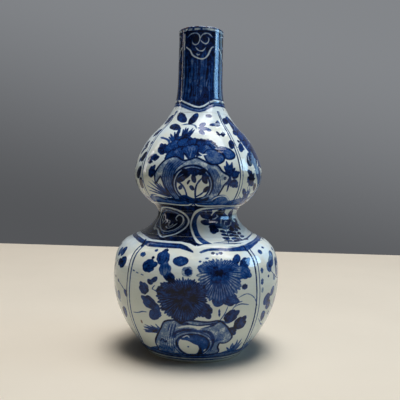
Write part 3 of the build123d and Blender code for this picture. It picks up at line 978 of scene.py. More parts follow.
def paint_orchard(sheet):
    """Fruiting sprays over grass: the side panels of the upper bulb."""
    each(sheet.leaf, (
        (-44, 254.6, -31, 261, 6, DARK), (-38, 240.6, -28.6, 247, 5.6, DARK),
        (-40, 222, -33.6, 231, 6, FULL), (-36, 196.4, -26, 200.6, 6.4, FULL),
        (-34, 194.6, -24, 191.6, 5.6, FULL), (-36, 205, -30, 199.6, 4.6, DARK),
        (32, 196.4, 42, 206.4, 8, INK), (30, 226, 37, 232, 5.6, DARK), (29, 219, 36, 224.4, 5.4, DARK),
        (-12, 254, -22, 262, 6, DARK), (2, 255, 6, 264, 5, DARK), (14, 252, 26, 260, 6, DARK),
        (12, 240, 24, 246, 6.4, FULL), (-10, 240, -20, 246, 6.4, FULL), (26, 206, 20, 214, 6, FULL),
        (-20, 208, -26, 216, 6, FULL), (18, 188, 27, 194, 6, DARK), (-17, 186, -23, 193, 5, DARK),
        (-26, 264, -14, 250, 12, FULL), (-29, 250, -18, 238, 12, FULL), (-26, 238, -17, 226, 11, FULL),
        (36, 254, 46, 264, 9, DARK), (36, 238, 47, 246, 8, DARK), (38, 212, 46, 220, 8, INK),
        (37, 186, 44, 196, 8, INK), (-38, 188, -29, 181, 4, FULL),
    ))
    each(sheet.dab, (
        (37, 226, 4.4, 5.4, INK), (45, 230, 3.6, 4, DARK), (35.6, 213, 4.6, 4.4, DARK),
        (39, 202, 6, 6, INK), (-36.4, 233, 3, 3, DARK), (-34, 226, 3.4, 4, FULL), (0, 248, 3.4, 3, DARK),
        (-28, 238, 3, 3, FULL),
    ))
    sheet.strokes((
        ((-42, 226), (-36, 229), (-33, 234)), ((-32, 252), (-24, 248), (-14, 246), (-4, 240)),
        ((30, 250), (20, 247), (8, 240)), ((-26, 204), (-18, 208), (-10, 212)),
        ((28, 200), (20, 206), (10, 212)), ((-30, 186), (-22, 182), (-14, 184)),
    ), 0.9, FULL)
    sheet.fill((
        (-34, 240), (-32, 250), (-26, 260), (-17, 262), (-9, 252), (-7, 236), (-10, 222), (-17, 211),
        (-23, 206), (-26, 212), (-27, 222), (-31, 229),
    ), FULL + 0.04, INK)
    sheet.strokes((
        ((-31, 240), (-24, 246), (-16, 248)), ((-30, 233), (-22, 236), (-13, 235)),
        ((-26, 254), (-20, 250), (-12, 244)), ((-25, 218), (-20, 224), (-12, 229)),
        ((-24, 210), (-20, 215), (-15, 221)),
    ), 1.2, INK)
    sheet.strokes((
        ((-29, 246), (-23, 251), (-18, 255)), ((-27, 226), (-20, 230), (-14, 231)),
        ((-22, 212), (-18, 218)),
    ), 1, WASH, lay=True)
    sheet.fill((
        (-24, 205), (-19, 208), (-13, 207), (-9, 199), (-9, 188), (-12, 186), (-16, 193), (-21, 199),
    ), MID)
    sheet.strokes((
        ((-22, 204), (-17, 198), (-12, 188)), ((-17, 207), (-13, 201), (-9, 190)),
    ), 1.3, DARK)
    sheet.leaf(-34, 209.4, -26.6, 221.6, 9, DARK)
    # Painted reflection: this pale streak in the leaf stands in for a glint of sky on the glaze.
    sheet.brush(((-31.6, 213.6), (-30.6, 219)), 1.2, HAZE, lay=True)
    sheet.tuft((-29, 196), ((-36, 199), (-35, 203.6), (-31, 204.6), (-26, 203), (-23.6, 198)), 5, INK)
    sheet.tuft((-30, 197), ((-36, 194), (-32, 190), (-26, 191.6)), 4, DARK)
    sheet.tuft((-24, 178), ((-33, 190), (-29.6, 190.6), (-26, 189), (-34, 184.6), (-33, 180.4)), 2.2, FULL)
    each(sheet.fan, (
        ((-3, 212), (-17, 224), 13, DARK, INK), ((3, 212), (17, 224), 13, DARK, INK),
        ((-1, 213), (-8, 233), 13, DARK, INK), ((1, 213), (8, 233), 13, DARK, INK),
        ((0, 208), (0, 228), 18, MID, DARK), ((-2, 207), (-12, 215), 11, FULL, INK),
        ((2, 207), (12, 215), 11, FULL, INK),
    ))
    rock = (
        (-17, 172), (-16, 182), (-11, 194), (-5, 202), (2, 205), (8, 201), (13, 194), (18, 184), (19, 172),
    )
    sheet.outlined(rock, WASH, MID, 1.4)
    for count in range(7):
        turn = -12 + count * 4
        sheet.brush(((turn, 174), (turn + 1, 184), (turn * 0.5, 198)), 0.75, FULL)
    sheet.fill(oval(1, 185, 6.6, 6.4), BARE, FULL, lay=True)
    sheet.ring(oval(1, 185, 7, 6.8), 1.1, INK)
    sheet.tuft((-28, 172), ((-38, 180), (-35, 186), (-31, 188), (-26, 184), (-22, 180)), 2, FULL)
    sheet.tuft((30, 172), ((39, 181), (36, 187), (31, 189), (26, 184)), 2, FULL)


UPPER_DIVIDERS = (
    ((37.8, 268), (36.4, 240), (37.6, 220), (38.8, 200), (39.8, 186), (41.2, 172)),
    ((-50, 268), (-52.6, 250), (-54.6, 232), (-56, 210), (-57.4, 190), (-58.6, 172)),
)


def paint_upper_bulb(sheet):
    """Panels with their ribs and lines."""
    ground = (
        (-55, 178), (-46, 180), (-30, 174.6), (-20, 176), (10, 176), (16, 180), (26, 181), (34, 175),
        (38, 170), (-56, 170),
    )
    for middle, flip in ((-9, 1), (170, -1)):
        sheet.face(middle, -9, flip)
        paint_grotto(sheet)
        sheet.fill(ground, MID, DARK)
        for count in range(6):
            turn = -54 + count * 5
            sheet.brush((
                (turn, 179 - count * 0.5), (turn + 10, 176.4 - count * 0.5), (turn + 21, 172.6),
            ), 1.1, INK)
        sheet.brush(((-52, 177.6), (-42, 178.4), (-32, 175)), 1.3, HAZE, lay=True)
        sheet.brush(((14, 175), (20, 179.4), (27, 179.6), (34, 174)), 1.4, HAZE, lay=True)
    for middle in (82, -101.5):
        sheet.face(middle)
        sheet.fill((
            (-42, 176), (-20, 178), (0, 176), (20, 178), (42, 176), (42, 170), (-42, 170),
        ), MID, DARK)
        paint_orchard(sheet)
    sheet.face(0)
    paint_dividers(sheet, UPPER_DIVIDERS, 1.5, 0.9)


NECK_STREAKS, LIP_CHIPS, RUST_SPOTS = 30, 60, 70


def paint_neck(sheet):
    """Navy neck in four panels, over the collar of lines at its base."""
    base = (
        (-90, 279), (-60, 279), (-45, 278.6), (-30, 276), (-12, 272.6), (-1, 271.6), (8, 273), (20, 276.6),
        (35, 279.2), (60, 279.4), (90, 279),
    )
    sheet.ground(base, 342, 0.93)
    sheet.band(lifted(base, -3.2), 4.4, FULL)
    sheet.band(lifted(base, -1.9), 1.1, INK)
    sheet.band(lifted(base, -4.9), 1, DARK)
    sheet.band(lifted(base, -3.4), 0.7, WASH, lay=True)
    sheet.band(base, 1.7, BARE + 0.03, lay=True)
    sheet.raise_band(base, 2.2)
    for middle in (-4, 86, 176, -94):
        sheet.face(middle, -4)
        paint_neck_panel(sheet)
    sheet.face(0)
    for turn in (-47, 42, 132, -138):
        upright = ((turn - 1, 281), (turn, 300), (turn - 1, 326))
        sheet.brush(upright, 1.3, WASH, swell=even, lay=True)
        sheet.brush(shifted(upright, 3), 0.8, MID, swell=even, lay=True)
        sheet.brush(((turn, 326), (turn - 0.6, 334), (turn, 341)), 1.6, HAZE, swell=even, lay=True)
    paint_lip(sheet)


def paint_neck_panel(sheet):
    """Streaks in the navy ground, under a scroll head."""
    draw = sheet.hand.uniform
    sheet.strokes((
        ((-9, 292), (-7.4, 296), (-3, 300.4)), ((15, 291), (17, 296), (22.6, 300.6)),
        ((-7, 290), (-2, 293)),
    ), 1, MID - 0.04, lay=True)
    for streak in range(NECK_STREAKS):
        turn, top = draw(-40, 34), draw(294, 324)
        line = ((turn, top), (turn + 1, top - 8), (turn, top - draw(14, 26)))
        sheet.brush(line, 1.0, draw(0.56, 0.85), lay=True)
    for turn, low_end, high_end in (
        (-28, 284, 304), (-23, 296, 318), (-14, 284, 312), (1, 282, 318), (22, 286, 310),
    ):
        line = ((turn, low_end), (turn + 1, (low_end + high_end) / 2), (turn, high_end))
        sheet.brush(line, 1.9, 0.58, lay=True, shake=0.4)
    sheet.brush((
        (-40, 327.4), (-35, 326), (-28, 324), (-22, 320), (-12, 317.6), (0, 316.2), (10, 317),
        (18, 320), (23, 324), (28, 327), (33, 328),
    ), 1.5, 0.13, swell=even, lay=True)
    sheet.strokes((
        ((-24, 333.4), (-22, 330.6), (-16, 329), (-8, 330), (-3.6, 333.6), (-4.6, 337), (-10, 339),
         (-18, 339.4), (-28, 338.6), (-38, 336)),
        ((-3.6, 333.6), (1, 332), (6, 330.6), (12, 330), (17.6, 331.6), (19.6, 334.4), (16.4, 336.2)),
        ((-3, 334.6), (3, 338), (12, 339.4), (20, 339), (30, 336.6)),
        ((-14.4, 327), (-6, 323.8), (4, 323.6), (12.4, 327)), ((-13, 321), (-7, 319.8), (-2, 320.6)),
    ), 1.15, 0.17, lay=True)
    sheet.fill(((-20, 333), (-15, 337.6), (-8, 336.4), (-8, 332.6), (-14, 331)), INK + 0.06)


def paint_lip(sheet):
    """Lines round the lip, the places where it is chipped, and a painted highlight on its front."""
    draw = sheet.hand.uniform
    sheet.band(((-90, 341.3), (-40, 341), (10, 341.4), (60, 341.2)), 1.7, INK)
    sheet.band((
        (-90, 343.2), (-64, 343.4), (-30, 343), (4, 343.3), (40, 342.9), (90, 343.2),
    ), 2, 0.2, lay=True)
    sheet.band((
        (-90, 344.8), (-50, 344.9), (-20, 344.6), (20, 344.9), (60, 344.7), (90, 344.8),
    ), 1.1, INK, lay=True)
    sheet.band(level(347), 3.6, 0.08, lay=True)
    # Painted highlight: a white spot on the front of the lip.
    sheet.brush(((-42, 343.2), (-37, 343.5)), 2, BARE, None, rounded, lay=True)
    for chip in (
        ((-66, 345.2), (-56, 345.6), (-47, 345)), ((-63, 344.8), (-55, 342.8), (-48, 340.8)),
        ((-70, 342), (-64, 341)), ((-43, 345.8), (-34, 345.6)), ((-29, 345.9), (-24, 345.5)),
        ((-18, 345.8), (-7, 345.6)), ((50, 345.7), (56, 345.4)),
    ):
        sheet.brush(chip, 1.3, INK, lay=True, shake=0.4)
        sheet.brush(chip, 0.8, 0.5, onto=sheet.iron, shake=0.4)
    for chip in range(LIP_CHIPS):
        turn, climb = draw(-180, 180), draw(341.4, 346.8)
        line = ((turn - 2, climb), (turn + draw(0, 5), climb + draw(-0.5, 0.5)))
        width, tone = draw(0.7, 1.4), sheet.hand.choice((0.25, DARK, INK))
        sheet.brush(line, width, tone, None, rounded, lay=True)


def paint_rust(sheet):
    """Rust spots in the glaze, and the lip where the glaze wore off."""
    draw = sheet.hand.uniform
    sheet.brush(((-40.3, 42.8), (-40.3, 46.4)), 2.2, 0.9, None, rounded, onto=sheet.iron)
    for spot in range(RUST_SPOTS):
        turn, climb = draw(-180, 180), draw(14, 270)
        line = ((turn, climb), (turn + 0.3, climb + 0.4))
        sheet.brush(line, draw(0.4, 0.8), draw(0.2, 0.6), None, rounded, onto=sheet.iron)
    lip = sheet.outline.lip_climb + 2.2
    sheet.band(((-90, lip), (-60, lip + 0.2), (-30, lip - 0.3), (0, lip)), 2.2, 0.18, onto=sheet.iron)
    for turn in (-62, -44, -38, 12, 71, 118, 163, -140):
        line = ((turn - 2, lip - 1), (turn + 2.4, lip - 1.4))
        sheet.brush(line, 1.5, 0.9, None, rounded, onto=sheet.iron)


@lru_cache(maxsize=1)
def painted_sheet(stations):
    """The whole painting, from the foot to the lip."""
    sheet = Sheet(Outline(stations))
    paint_lower_bulb(sheet)
    paint_waist(sheet)
    paint_lower_border(sheet)
    paint_upper_bulb(sheet)
    paint_neck(sheet)
    paint_rust(sheet)
    return sheet


# Sections of the vase

# Rings down the inside wall, and curve points from one ring of the floor to the next
INSIDE_ROWS = 26
FLOOR_STEP = 8

# Foot well: rings from its innermost one to its wall, that one's radius, and points round the bend
WELL_RINGS = 12
WELL_START = 2
BEND_STEPS = 6

# Clay is bare up to this many millimetres over the table
BARE_HEIGHT = 0.35

# Map: share of its height for everything but the outside, and how far the outside fills its own half
INSIDE_SHARE = 0.11
OUTSIDE_FILL = 0.985


def seam_height(lower, upper):
    """Middle of the seam between two sections, in millimetres."""
    return (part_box(lower)[1].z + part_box(upper)[0].z) / 2 / MM


BELLY_SEAM = seam_height("lower_bulb_bowl", "lower_bulb_shoulder")
COLLAR_SEAM = seam_height("lower_bulb_shoulder", "waist_collar")
WAIST_SEAM = seam_height("waist_collar", "upper_bulb_bowl")
UPPER_BELLY_SEAM = seam_height("upper_bulb_bowl", "upper_bulb_shoulder")
NECK_SEAM = seam_height("upper_bulb_shoulder", "neck_tube")


def section_loop(outline, shape, low, high):
    """Once round the wall of a section: points, climbs up the outside, corners, and the bowl's floor row."""
    half_gap = shape.seam_gap / 2 / MM
    bridge = shape.glaze_bridge / MM
    pitch = shape.grid / MM
    start = 0 if low is None else outline.climb_at(low)
    end = outline.climb[-1] if high is None else outline.climb_at(high)
    climbs = np.linspace(start, end, int((end - start) / pitch) + 1)
    points = [tuple(point) for point in outline.outside_at(climbs)]
    corners = {0} if low is not None else set()
    if high is not None:
        rim = outline.outside_at(end)[0] - bridge
        corners |= {len(points) - 1, len(points), len(points) + 1, len(points) + 2}
        points += [(rim, high), (rim, high - half_gap)]
    top = outline.skin[-1, 1] if high is None else high - half_gap
    bottom = outline.inside[0, 1] if low is None else low + half_gap
    heights = np.linspace(top, bottom, INSIDE_ROWS)[int(high is None):]
    points += [tuple(point) for point in outline.inside_at(heights)]
    if low is None:
        floor, under = floor_and_foot(outline, shape)
        floor_row = len(points) + len(floor) - 1
        points += floor + under
        corners |= {len(points) - 1, len(points) - 2}
    else:
        floor_row = None
        rim = outline.outside_at(start)[0] - bridge
        corners |= {len(points) - 1, len(points), len(points) + 1}
        points += [(rim, low + half_gap), (rim, low)]
    return np.array(points), climbs, corners, floor_row


def floor_and_foot(outline, shape):
    """Floor inside, in to the axis, and the foot well, out from the axis to the edge of the foot ring."""
    bevel, ring_width, ring_taper, well_round = 0.8, 5.2, 1.0, 1.6
    heel, well = outline.heel, shape.foot_well / MM
    floor = curve(
        heel, heel - heading(LEANS[1]) * heel[0] * FLOOR_SHARES[0],
        np.array((heel[0] * FLOOR_SHARES[1], shape.floor / MM)), np.array((0, shape.floor / MM)),
    )[FLOOR_STEP:-1:FLOOR_STEP]
    ring = outline.foot[0] - bevel
    mouth = ring - ring_width
    wall = mouth - ring_taper
    well_corner = [
        (wall - well_round * (1 - cos(bend)), well - well_round * (1 - sin(bend)))
        for bend in np.linspace(0, pi / 2, BEND_STEPS)
    ]
    hollow = [(radius, well) for radius in np.linspace(WELL_START, wall - well_round, WELL_RINGS)[:-1]]
    under = hollow + well_corner[::-1] + [(wall + ring_taper / 2, well / 2), (mouth, 0), (ring, 0)]
    return [tuple(point) for point in floor], under


# Moulding round the lower border: millimetres over its pale line, and how far out the wall strays there
MOULDING = (
    (-16, -0.28), (-14, -0.34), (-11.5, -0.62), (-8.6, -1.0), (-7.6, -1.02), (-4.6, -0.62), (-2.6, -0.22),
    (-0.6, 0.0), (0.6, -0.02), (2.6, -0.26), (4, -0.28),
)

# Slow wobble of the thrown wall: share, waves in a turn, phase, and millimetres of climb to a radian
WOBBLES = ((0.4, 2, 0.9, 90), (0.25, 3, 0, -42), (0.2, 5, 1.3, 23))

# All shares of wobbles and rings together, so that the wall strays only inwards
MOST_WANDER = 1.1

# Millimetres over which all unevenness fades out at the foot and at the lip
FOOT_FADE = 6
LIP_FADE = 8

# Most that the wall lies under its outline, and how near a seam, in millimetres, it is held to less
MOST_STRAY = 1.1
SEAM_CLEAR = (1.5, 7)


def strays(sheet, shape, climbs, turns):
    """How far the outside strays from true, in millimetres: moulding, throwing rings and a slow wobble."""
    rows = np.clip(climbs / CLIMB_STEP, 0, len(sheet.climbs) - 1)
    fade = np.clip(climbs / FOOT_FADE, 0, 1) * np.clip((sheet.outline.lip_climb - climbs) / LIP_FADE, 0, 1)
    angle = np.radians(turns)[None, :]
    climb = climbs[:, None]
    slow = 0.15 * np.sin(climb / 7.5 + 0.6 * np.sin(angle + 1))
    for share, waves, phase, rise in WOBBLES:
        slow = slow + share * np.sin(waves * angle + phase + climb / rise)
    rings = 0.10 * np.sin(climb * 2.1 + 1.6 * np.sin(angle + climb / 60))
    wander = shape.unevenness / MM * (slow + rings - MOST_WANDER)
    hollow = shape.panel_hollow / MM * (sample(sheet.rib, rows, turns) - 1)
    over_border = climb - all_round(LOWER_BORDER, turns)
    fall = np.interp(over_border, *np.array(MOULDING).T)
    hollow = np.where((over_border > MOULDING[0][0]) & (over_border < MOULDING[-1][0]), fall, hollow)
    deepest = np.full(climb.shape, MOST_STRAY)
    for height, share in ((BELLY_SEAM, 1), (COLLAR_SEAM, 0.55), (WAIST_SEAM, 0.9)):
        clear = np.abs(climb - sheet.outline.climb_at(height))
        held = (shape.deepest_stray / MM * share, MOST_STRAY)
        deepest = np.minimum(deepest, np.interp(clear, SEAM_CLEAR, held))
    return np.maximum((wander + hollow) * fade[:, None], -deepest)


def sample(channel, rows, turns):
    """Values of one channel of the sheet on a grid of rows and turns."""
    columns = (turns + 180) / TURN_STEP
    row, column = np.floor(rows).astype(int), np.floor(columns).astype(int)
    up, right = (rows - row)[:, None], (columns - column)[None, :]
    next_row = np.minimum(row + 1, channel.shape[0] - 1)
    column, next_column = column % channel.shape[1], (column + 1) % channel.shape[1]
    low = channel[np.ix_(row, column)] * (1 - right) + channel[np.ix_(row, next_column)] * right
    high = channel[np.ix_(next_row, column)] * (1 - right) + channel[np.ix_(next_row, next_column)] * right
    return low * (1 - up) + high * up


def thrown_section(name, sheet, shape, low, high, columns):
    """Mesh of one section, with the painting in its attributes and a map for its textures."""
    outline = sheet.outline
    loop, climbs, corners, floor_row = section_loop(outline, shape, low, high)
    turns = np.linspace(-180, 180, columns, endpoint=False)
    skin_rows = len(climbs)
    radius, height = (np.repeat(loop[:, axis:axis + 1], columns, 1) for axis in (0, 1))
    stray = strays(sheet, shape, climbs, turns)
    outward = outline.outward_at(climbs)
    radius[:skin_rows] += stray * outward[:, :1]
    height[:skin_rows] += stray * outward[:, 1:]
    angle = np.radians(turns)
    grid = np.stack((radius * np.sin(angle), -radius * np.cos(angle), height), -1)
    poles = [(0, 0, shape.floor / MM), (0, 0, shape.foot_well / MM)]
    return build_mesh(name, sheet, grid, climbs, corners, turns, floor_row, poles)


def build_mesh(name, sheet, grid, climbs, corners, turns, floor_row, poles):
    """Closed mesh from rings of points. The last joins the first; floor and foot well end in poles."""
    rows, columns = grid.shape[:2]
    skin_rows = len(climbs)
    points = grid.reshape(-1, 3)
    ring = np.arange(columns)
    after = (ring + 1) % columns
    pairs = [(row, (row + 1) % rows) for row in range(rows)]
    has_foot = floor_row is not None
    if has_foot:
        pairs.remove((floor_row, floor_row + 1))
    faces = []
    for low, high in pairs:
        below, above = low * columns, high * columns
        faces += np.stack((below + ring, below + after, above + after, above + ring), -1).tolist()
    if has_foot:
        floor_pole, well_pole = len(points), len(points) + 1
        floor, well = floor_row * columns, (floor_row + 1) * columns
        points = np.vstack((points, poles))
        faces += [(floor + here, floor + beside, floor_pole) for here, beside in zip(ring, after)]
        faces += [(well_pole, well + beside, well + here) for here, beside in zip(ring, after)]
    mesh = bpy.data.meshes.new(name)
    mesh.from_pydata((points * MM).tolist(), [], faces)
    mesh.shade_smooth()

    ends = np.empty(len(mesh.edges) * 2, np.int32)
    mesh.edges.foreach_get("vertices", ends)
    row_of = ends.reshape(-1, 2) // columns
    is_corner = np.zeros(rows + 1, bool)
    is_corner[list(corners)] = True
    sharp = (row_of[:, 0] == row_of[:, 1]) & is_corner[row_of[:, 0]]
    mesh.attributes.new("sharp_edge", "BOOLEAN", "EDGE").data.foreach_set("value", sharp)

    sheet_rows = np.clip(climbs / CLIMB_STEP, 0, len(sheet.climbs) - 1)
    for label, channel in (("cobalt", sheet.cobalt), ("iron", sheet.iron)):
        values = np.zeros(len(points), np.float32)
        values[:skin_rows * columns] = sample(channel, sheet_rows, turns).ravel()
        mesh.attributes.new(label, "FLOAT", "POINT").data.foreach_set("value", values)
    bare = np.zeros(len(points), np.float32)
    if has_foot:
        bare[points[:, 2] < BARE_HEIGHT] = 1
    mesh.attributes.new("bare", "FLOAT", "POINT").data.foreach_set("value", bare)

    lay_map(mesh, pairs, rows, columns, skin_rows, floor_row)
    return mesh


def cells(*corners):
    """A row of cells on the map, from where their corners lie."""
    return np.stack([np.stack(corner, -1) for corner in corners], 1).reshape(-1, 2)


def boxes(left, right, bottom, top):
    return cells((left, bottom), (right, bottom), (right, top), (left, top))


def lay_map(mesh, pairs, rows, columns, skin_rows, floor_row):
    """Map for the textures: the outside as two half turns, one over the other, and the rest on top."""
    half = columns // 2
    ring = np.arange(columns)
    strip = (ring >= half).astype(float)
    left = (ring - strip * half) / half
    first, second = ring / columns, (ring + 1) / columns
    outside_share = (1 - INSIDE_SHARE) / 2
    row_share = INSIDE_SHARE / (rows - skin_rows + 1)
    flat = []
    for low, high in pairs:
        if high == low + 1 and high < skin_rows:
            bottom, top = (
                (strip + row / (skin_rows - 1) * OUTSIDE_FILL) * outside_share for row in (low, high)
            )
            flat.append(boxes(left, left + 1 / half, bottom, top))
        else:
            base = 1 - INSIDE_SHARE + (low - skin_rows + 1) * row_share
            bottom, top = np.full(columns, base), np.full(columns, base + row_share)
            flat.append(boxes(first, second, bottom, top))
    if floor_row is not None:
        base = 1 - INSIDE_SHARE + (floor_row - skin_rows + 1) * row_share
        floor, well = np.full(columns, base), np.full(columns, base + row_share)
        middle = (first + second) / 2
        flat.append(cells((first, floor), (second, floor), (middle, floor + row_share / 3)))
        flat.append(cells((middle, well - row_share / 3), (second, well), (first, well)))
    layer = mesh.uv_layers.new(name="OFBake")
    layer.uv.foreach_set("vector", np.concatenate(flat).astype(np.float32).ravel())


# Materials

def written(values):
    """A colour as it looks, turned into the linear values that a shader takes."""
    return tuple(v / 12.92 if v <= 0.04045 else ((v + 0.055) / 1.055) ** 2.4 for v in values) + (1,)


def add(tree, kind, inputs=None, **settings):
    """A node with its settings, and its inputs set to values or joined to other sockets."""
    node = tree.nodes.new(kind)
    for key, value in settings.items():
        setattr(node, key, value)
    for key, value in (inputs or {}).items():
        if isinstance(value, NodeSocket):
            tree.links.new(value, node.inputs[key])
        else:
            node.inputs[key].default_value = value
    return node


def sums(tree, operation, first, second):
    """One step of arithmetic on values or sockets."""
    return add(tree, "ShaderNodeMath", {0: first, 1: second}, operation=operation).outputs[0]


def plus(tree, first, second):
    return sums(tree, "ADD", first, second)


def times(tree, first, second):
    return sums(tree, "MULTIPLY", first, second)


def swing(tree, value, amount):
    """A texture that runs from 0 to 1, turned into one that swings about zero."""
    return times(tree, sums(tree, "SUBTRACT", value, 0.5), amount)


# Sockets of a mix node that belong to colours: share, first and second, and the result
MIX_SHARE, MIX_FIRST, MIX_SECOND, MIX_RESULT = 0, 6, 7, 2


def mixed(tree, share, first, second):
    """One colour laid over another."""
    inputs = {MIX_SHARE: share, MIX_FIRST: first, MIX_SECOND: second}
    return add(tree, "ShaderNodeMix", inputs, data_type="RGBA").outputs[MIX_RESULT]


def clouds(tree, where, scale, detail=3.0, roughness=0.5):
    return add(
        tree, "ShaderNodeTexNoise",
        {"Vector": where, "Scale": scale, "Detail": detail, "Roughness": roughness},
    ).outputs["Fac"]


def spread(tree, value, low, high, to_low=0.0, to_high=1.0):
    """A value stretched from one range to another, and held inside it."""
    return add(
        tree, "ShaderNodeMapRange",
        {"Value": value, "From Min": low, "From Max": high, "To Min": to_low, "To Max": to_high},
        interpolation_type="SMOOTHSTEP",
    ).outputs["Result"]


def new_group(name, sockets_in, sockets_out):
    """An empty node group with its sockets."""
    tree = bpy.data.node_groups.new(name, "ShaderNodeTree")
    for label, kind, default in sockets_in:
        socket = tree.interface.new_socket(label, in_out="INPUT", socket_type=kind)
        if default is not None:
            socket.default_value = default
    for label, kind in sockets_out:
        tree.interface.new_socket(label, in_out="OUTPUT", socket_type=kind)
    return tree, tree.nodes.new("NodeGroupInput").outputs, tree.nodes.new("NodeGroupOutput")


def grain_group():
    """Fine unevenness that every fired surface here has: slow cloud, grain and small pits."""
    if "Fired Grain" in bpy.data.node_groups:
        return bpy.data.node_groups["Fired Grain"]
    tree, given, result = new_group(
        "Fired Grain",
        (("Position", "NodeSocketVector", None), ("Cloud Scale", "NodeSocketFloat", 60.0),
         ("Grain Scale", "NodeSocketFloat", 900.0), ("Pit Spacing", "NodeSocketFloat", 260.0)),
        (("Cloud", "NodeSocketFloat"), ("Grain", "NodeSocketFloat"), ("Pits", "NodeSocketFloat")),
    )
    where = given["Position"]
    cloud = clouds(tree, where, given["Cloud Scale"], 3.0)
    grain = clouds(tree, where, given["Grain Scale"], 2.0, 0.6)
    specks = add(tree, "ShaderNodeTexVoronoi", {"Vector": where, "Scale": given["Pit Spacing"]}).outputs
    near = spread(tree, specks["Distance"], 0.03, 0.11, 1.0, 0.0)
    chosen = add(tree, "ShaderNodeSeparateColor", {"Color": specks["Color"]}).outputs[0]
    pits = times(tree, near, sums(tree, "GREATER_THAN", chosen, 0.80))
    for label, value in (("Cloud", cloud), ("Grain", grain), ("Pits", pits)):
        tree.links.new(value, result.inputs[label])
    return tree


def cobalt_group(colours):
    """Cobalt and rust under a clear glaze, with painted shade on unpainted walls that face sideways or down.
    """
    name = "Cobalt Under Glaze"
    if name in bpy.data.node_groups:
        return bpy.data.node_groups[name]
    tree, given, result = new_group(
        name,
        (("Position", "NodeSocketVector", None), ("Tone", "NodeSocketFloat", 0.0),
         ("Rust", "NodeSocketFloat", 0.0), ("Bare", "NodeSocketFloat", 0.0)),
        (("Color", "NodeSocketColor"), ("Roughness", "NodeSocketFloat"), ("Height", "NodeSocketFloat")),
    )
    where, tone = given["Position"], given["Tone"]
    grain = add(tree, "ShaderNodeGroup", {"Position": where}, node_tree=grain_group()).outputs
    blot = swing(tree, clouds(tree, where, 210.0, 4.0, 0.62), 0.85)
    streak = swing(tree, clouds(tree, where, 95.0, 2.0), 0.36)
    fine = swing(tree, clouds(tree, where, 700.0, 2.0, 0.6), 0.42)
    uneven = plus(tree, blot, plus(tree, streak, fine))
    tone = plus(tree, tone, times(tree, uneven, spread(tree, tone, 0.05, 0.35)))
    heaped = times(tree, spread(tree, grain["Grain"], 0.56, 0.70), spread(tree, tone, 0.62, 1.0))
    tone = plus(tree, tone, times(tree, heaped, 0.22))
    tone = plus(tree, tone, times(tree, spread(tree, grain["Cloud"], 0.45, 0.75), 0.05))
    ramp = add(tree, "ShaderNodeValToRGB", {0: tone})
    stops = (
        (0.0, colours.glaze), (0.14, colours.haze), (0.32, colours.wash), (0.62, colours.cobalt),
        (0.86, colours.ink), (1.0, colours.scorched),
    )
    elements = ramp.color_ramp.elements
    elements[1].position = 1
    for share, value in stops[1:-1]:
        elements.new(share).color = written(value)
    elements[0].color, elements[-1].color = written(stops[0][1]), written(stops[-1][1])
    patches = spread(tree, clouds(tree, where, 38.0, 3.0), 0.42, 0.66)
    warm = times(tree, patches, spread(tree, tone, 0.0, 0.3, 0.75, 0.0))
    shown = mixed(tree, warm, ramp.outputs[0], written(colours.warm_glaze))
    # Painted shade: unpainted glaze on walls that face sideways or down is mixed towards a darker colour,
    # standing in for the lesser light that falls there.
    facing = add(tree, "ShaderNodeNewGeometry").outputs["Normal"]
    upward = add(tree, "ShaderNodeSeparateXYZ", {"Vector": facing}).outputs["Z"]
    unpainted = spread(tree, tone, 0.0, 0.3, 1.0, 0.0)
    painted_underside_shade = times(tree, spread(tree, upward, -0.1, 0.36, 0.9, 0.0), unpainted)
    shown = mixed(tree, painted_underside_shade, shown, written(colours.thick_glaze))
    rusty = sums(tree, "MAXIMUM", given["Rust"], times(tree, grain["Pits"], 0.45))
    shown = mixed(tree, rusty, shown, written(colours.iron))
    shown = mixed(tree, given["Bare"], shown, written(colours.clay))
    rough = plus(tree, 0.055, times(tree, grain["Cloud"], 0.06))
    rough = plus(tree, rough, times(tree, given["Bare"], 0.5))
    dents = times(tree, grain["Pits"], -0.05)
    ripple = times(tree, clouds(tree, where, 75.0, 2.0), 0.48)
    orange_peel = times(tree, clouds(tree, where, 400.0, 2.0), 0.02)
    height = plus(tree, plus(tree, dents, ripple), orange_peel)
    for label, value in (("Color", shown), ("Roughness", rough), ("Height", height)):
        tree.links.new(value, result.inputs[label])
    return tree


def new_material(name):
    """A plain material, with its nodes, its shader and the place on the object."""
    material = bpy.data.materials.new(name)
    material.use_nodes = True
    tree = material.node_tree
    return material, tree, tree.nodes["Principled BSDF"], add(tree, "ShaderNodeTexCoord").outputs["Object"]


def give_height(tree, shader, height, strength):
    """Fine relief from a height in millimetres."""
    bump = add(tree, "ShaderNodeBump", {"Height": height, "Distance": MM, "Strength": strength})
    tree.links.new(bump.outputs["Normal"], shader.inputs["Normal"])


def painted_porcelain(colours):
    """Glazed and painted porcelain."""
    material, tree, shader, where = new_material("painted_porcelain")
    given = {"Position": where}
    for label, attribute in (("Tone", "cobalt"), ("Rust", "iron"), ("Bare", "bare")):
        given[label] = add(tree, "ShaderNodeAttribute", attribute_name=attribute).outputs["Fac"]
    group = add(tree, "ShaderNodeGroup", node_tree=cobalt_group(colours))
    for label, socket in given.items():
        tree.links.new(socket, group.inputs[label])
    tree.links.new(group.outputs["Color"], shader.inputs["Base Color"])
    tree.links.new(group.outputs["Roughness"], shader.inputs["Roughness"])
    give_height(tree, shader, group.outputs["Height"], 0.8)
    shader.inputs["IOR"].default_value = 1.5
    shader.inputs["Specular IOR Level"].default_value = 0.24
    return material


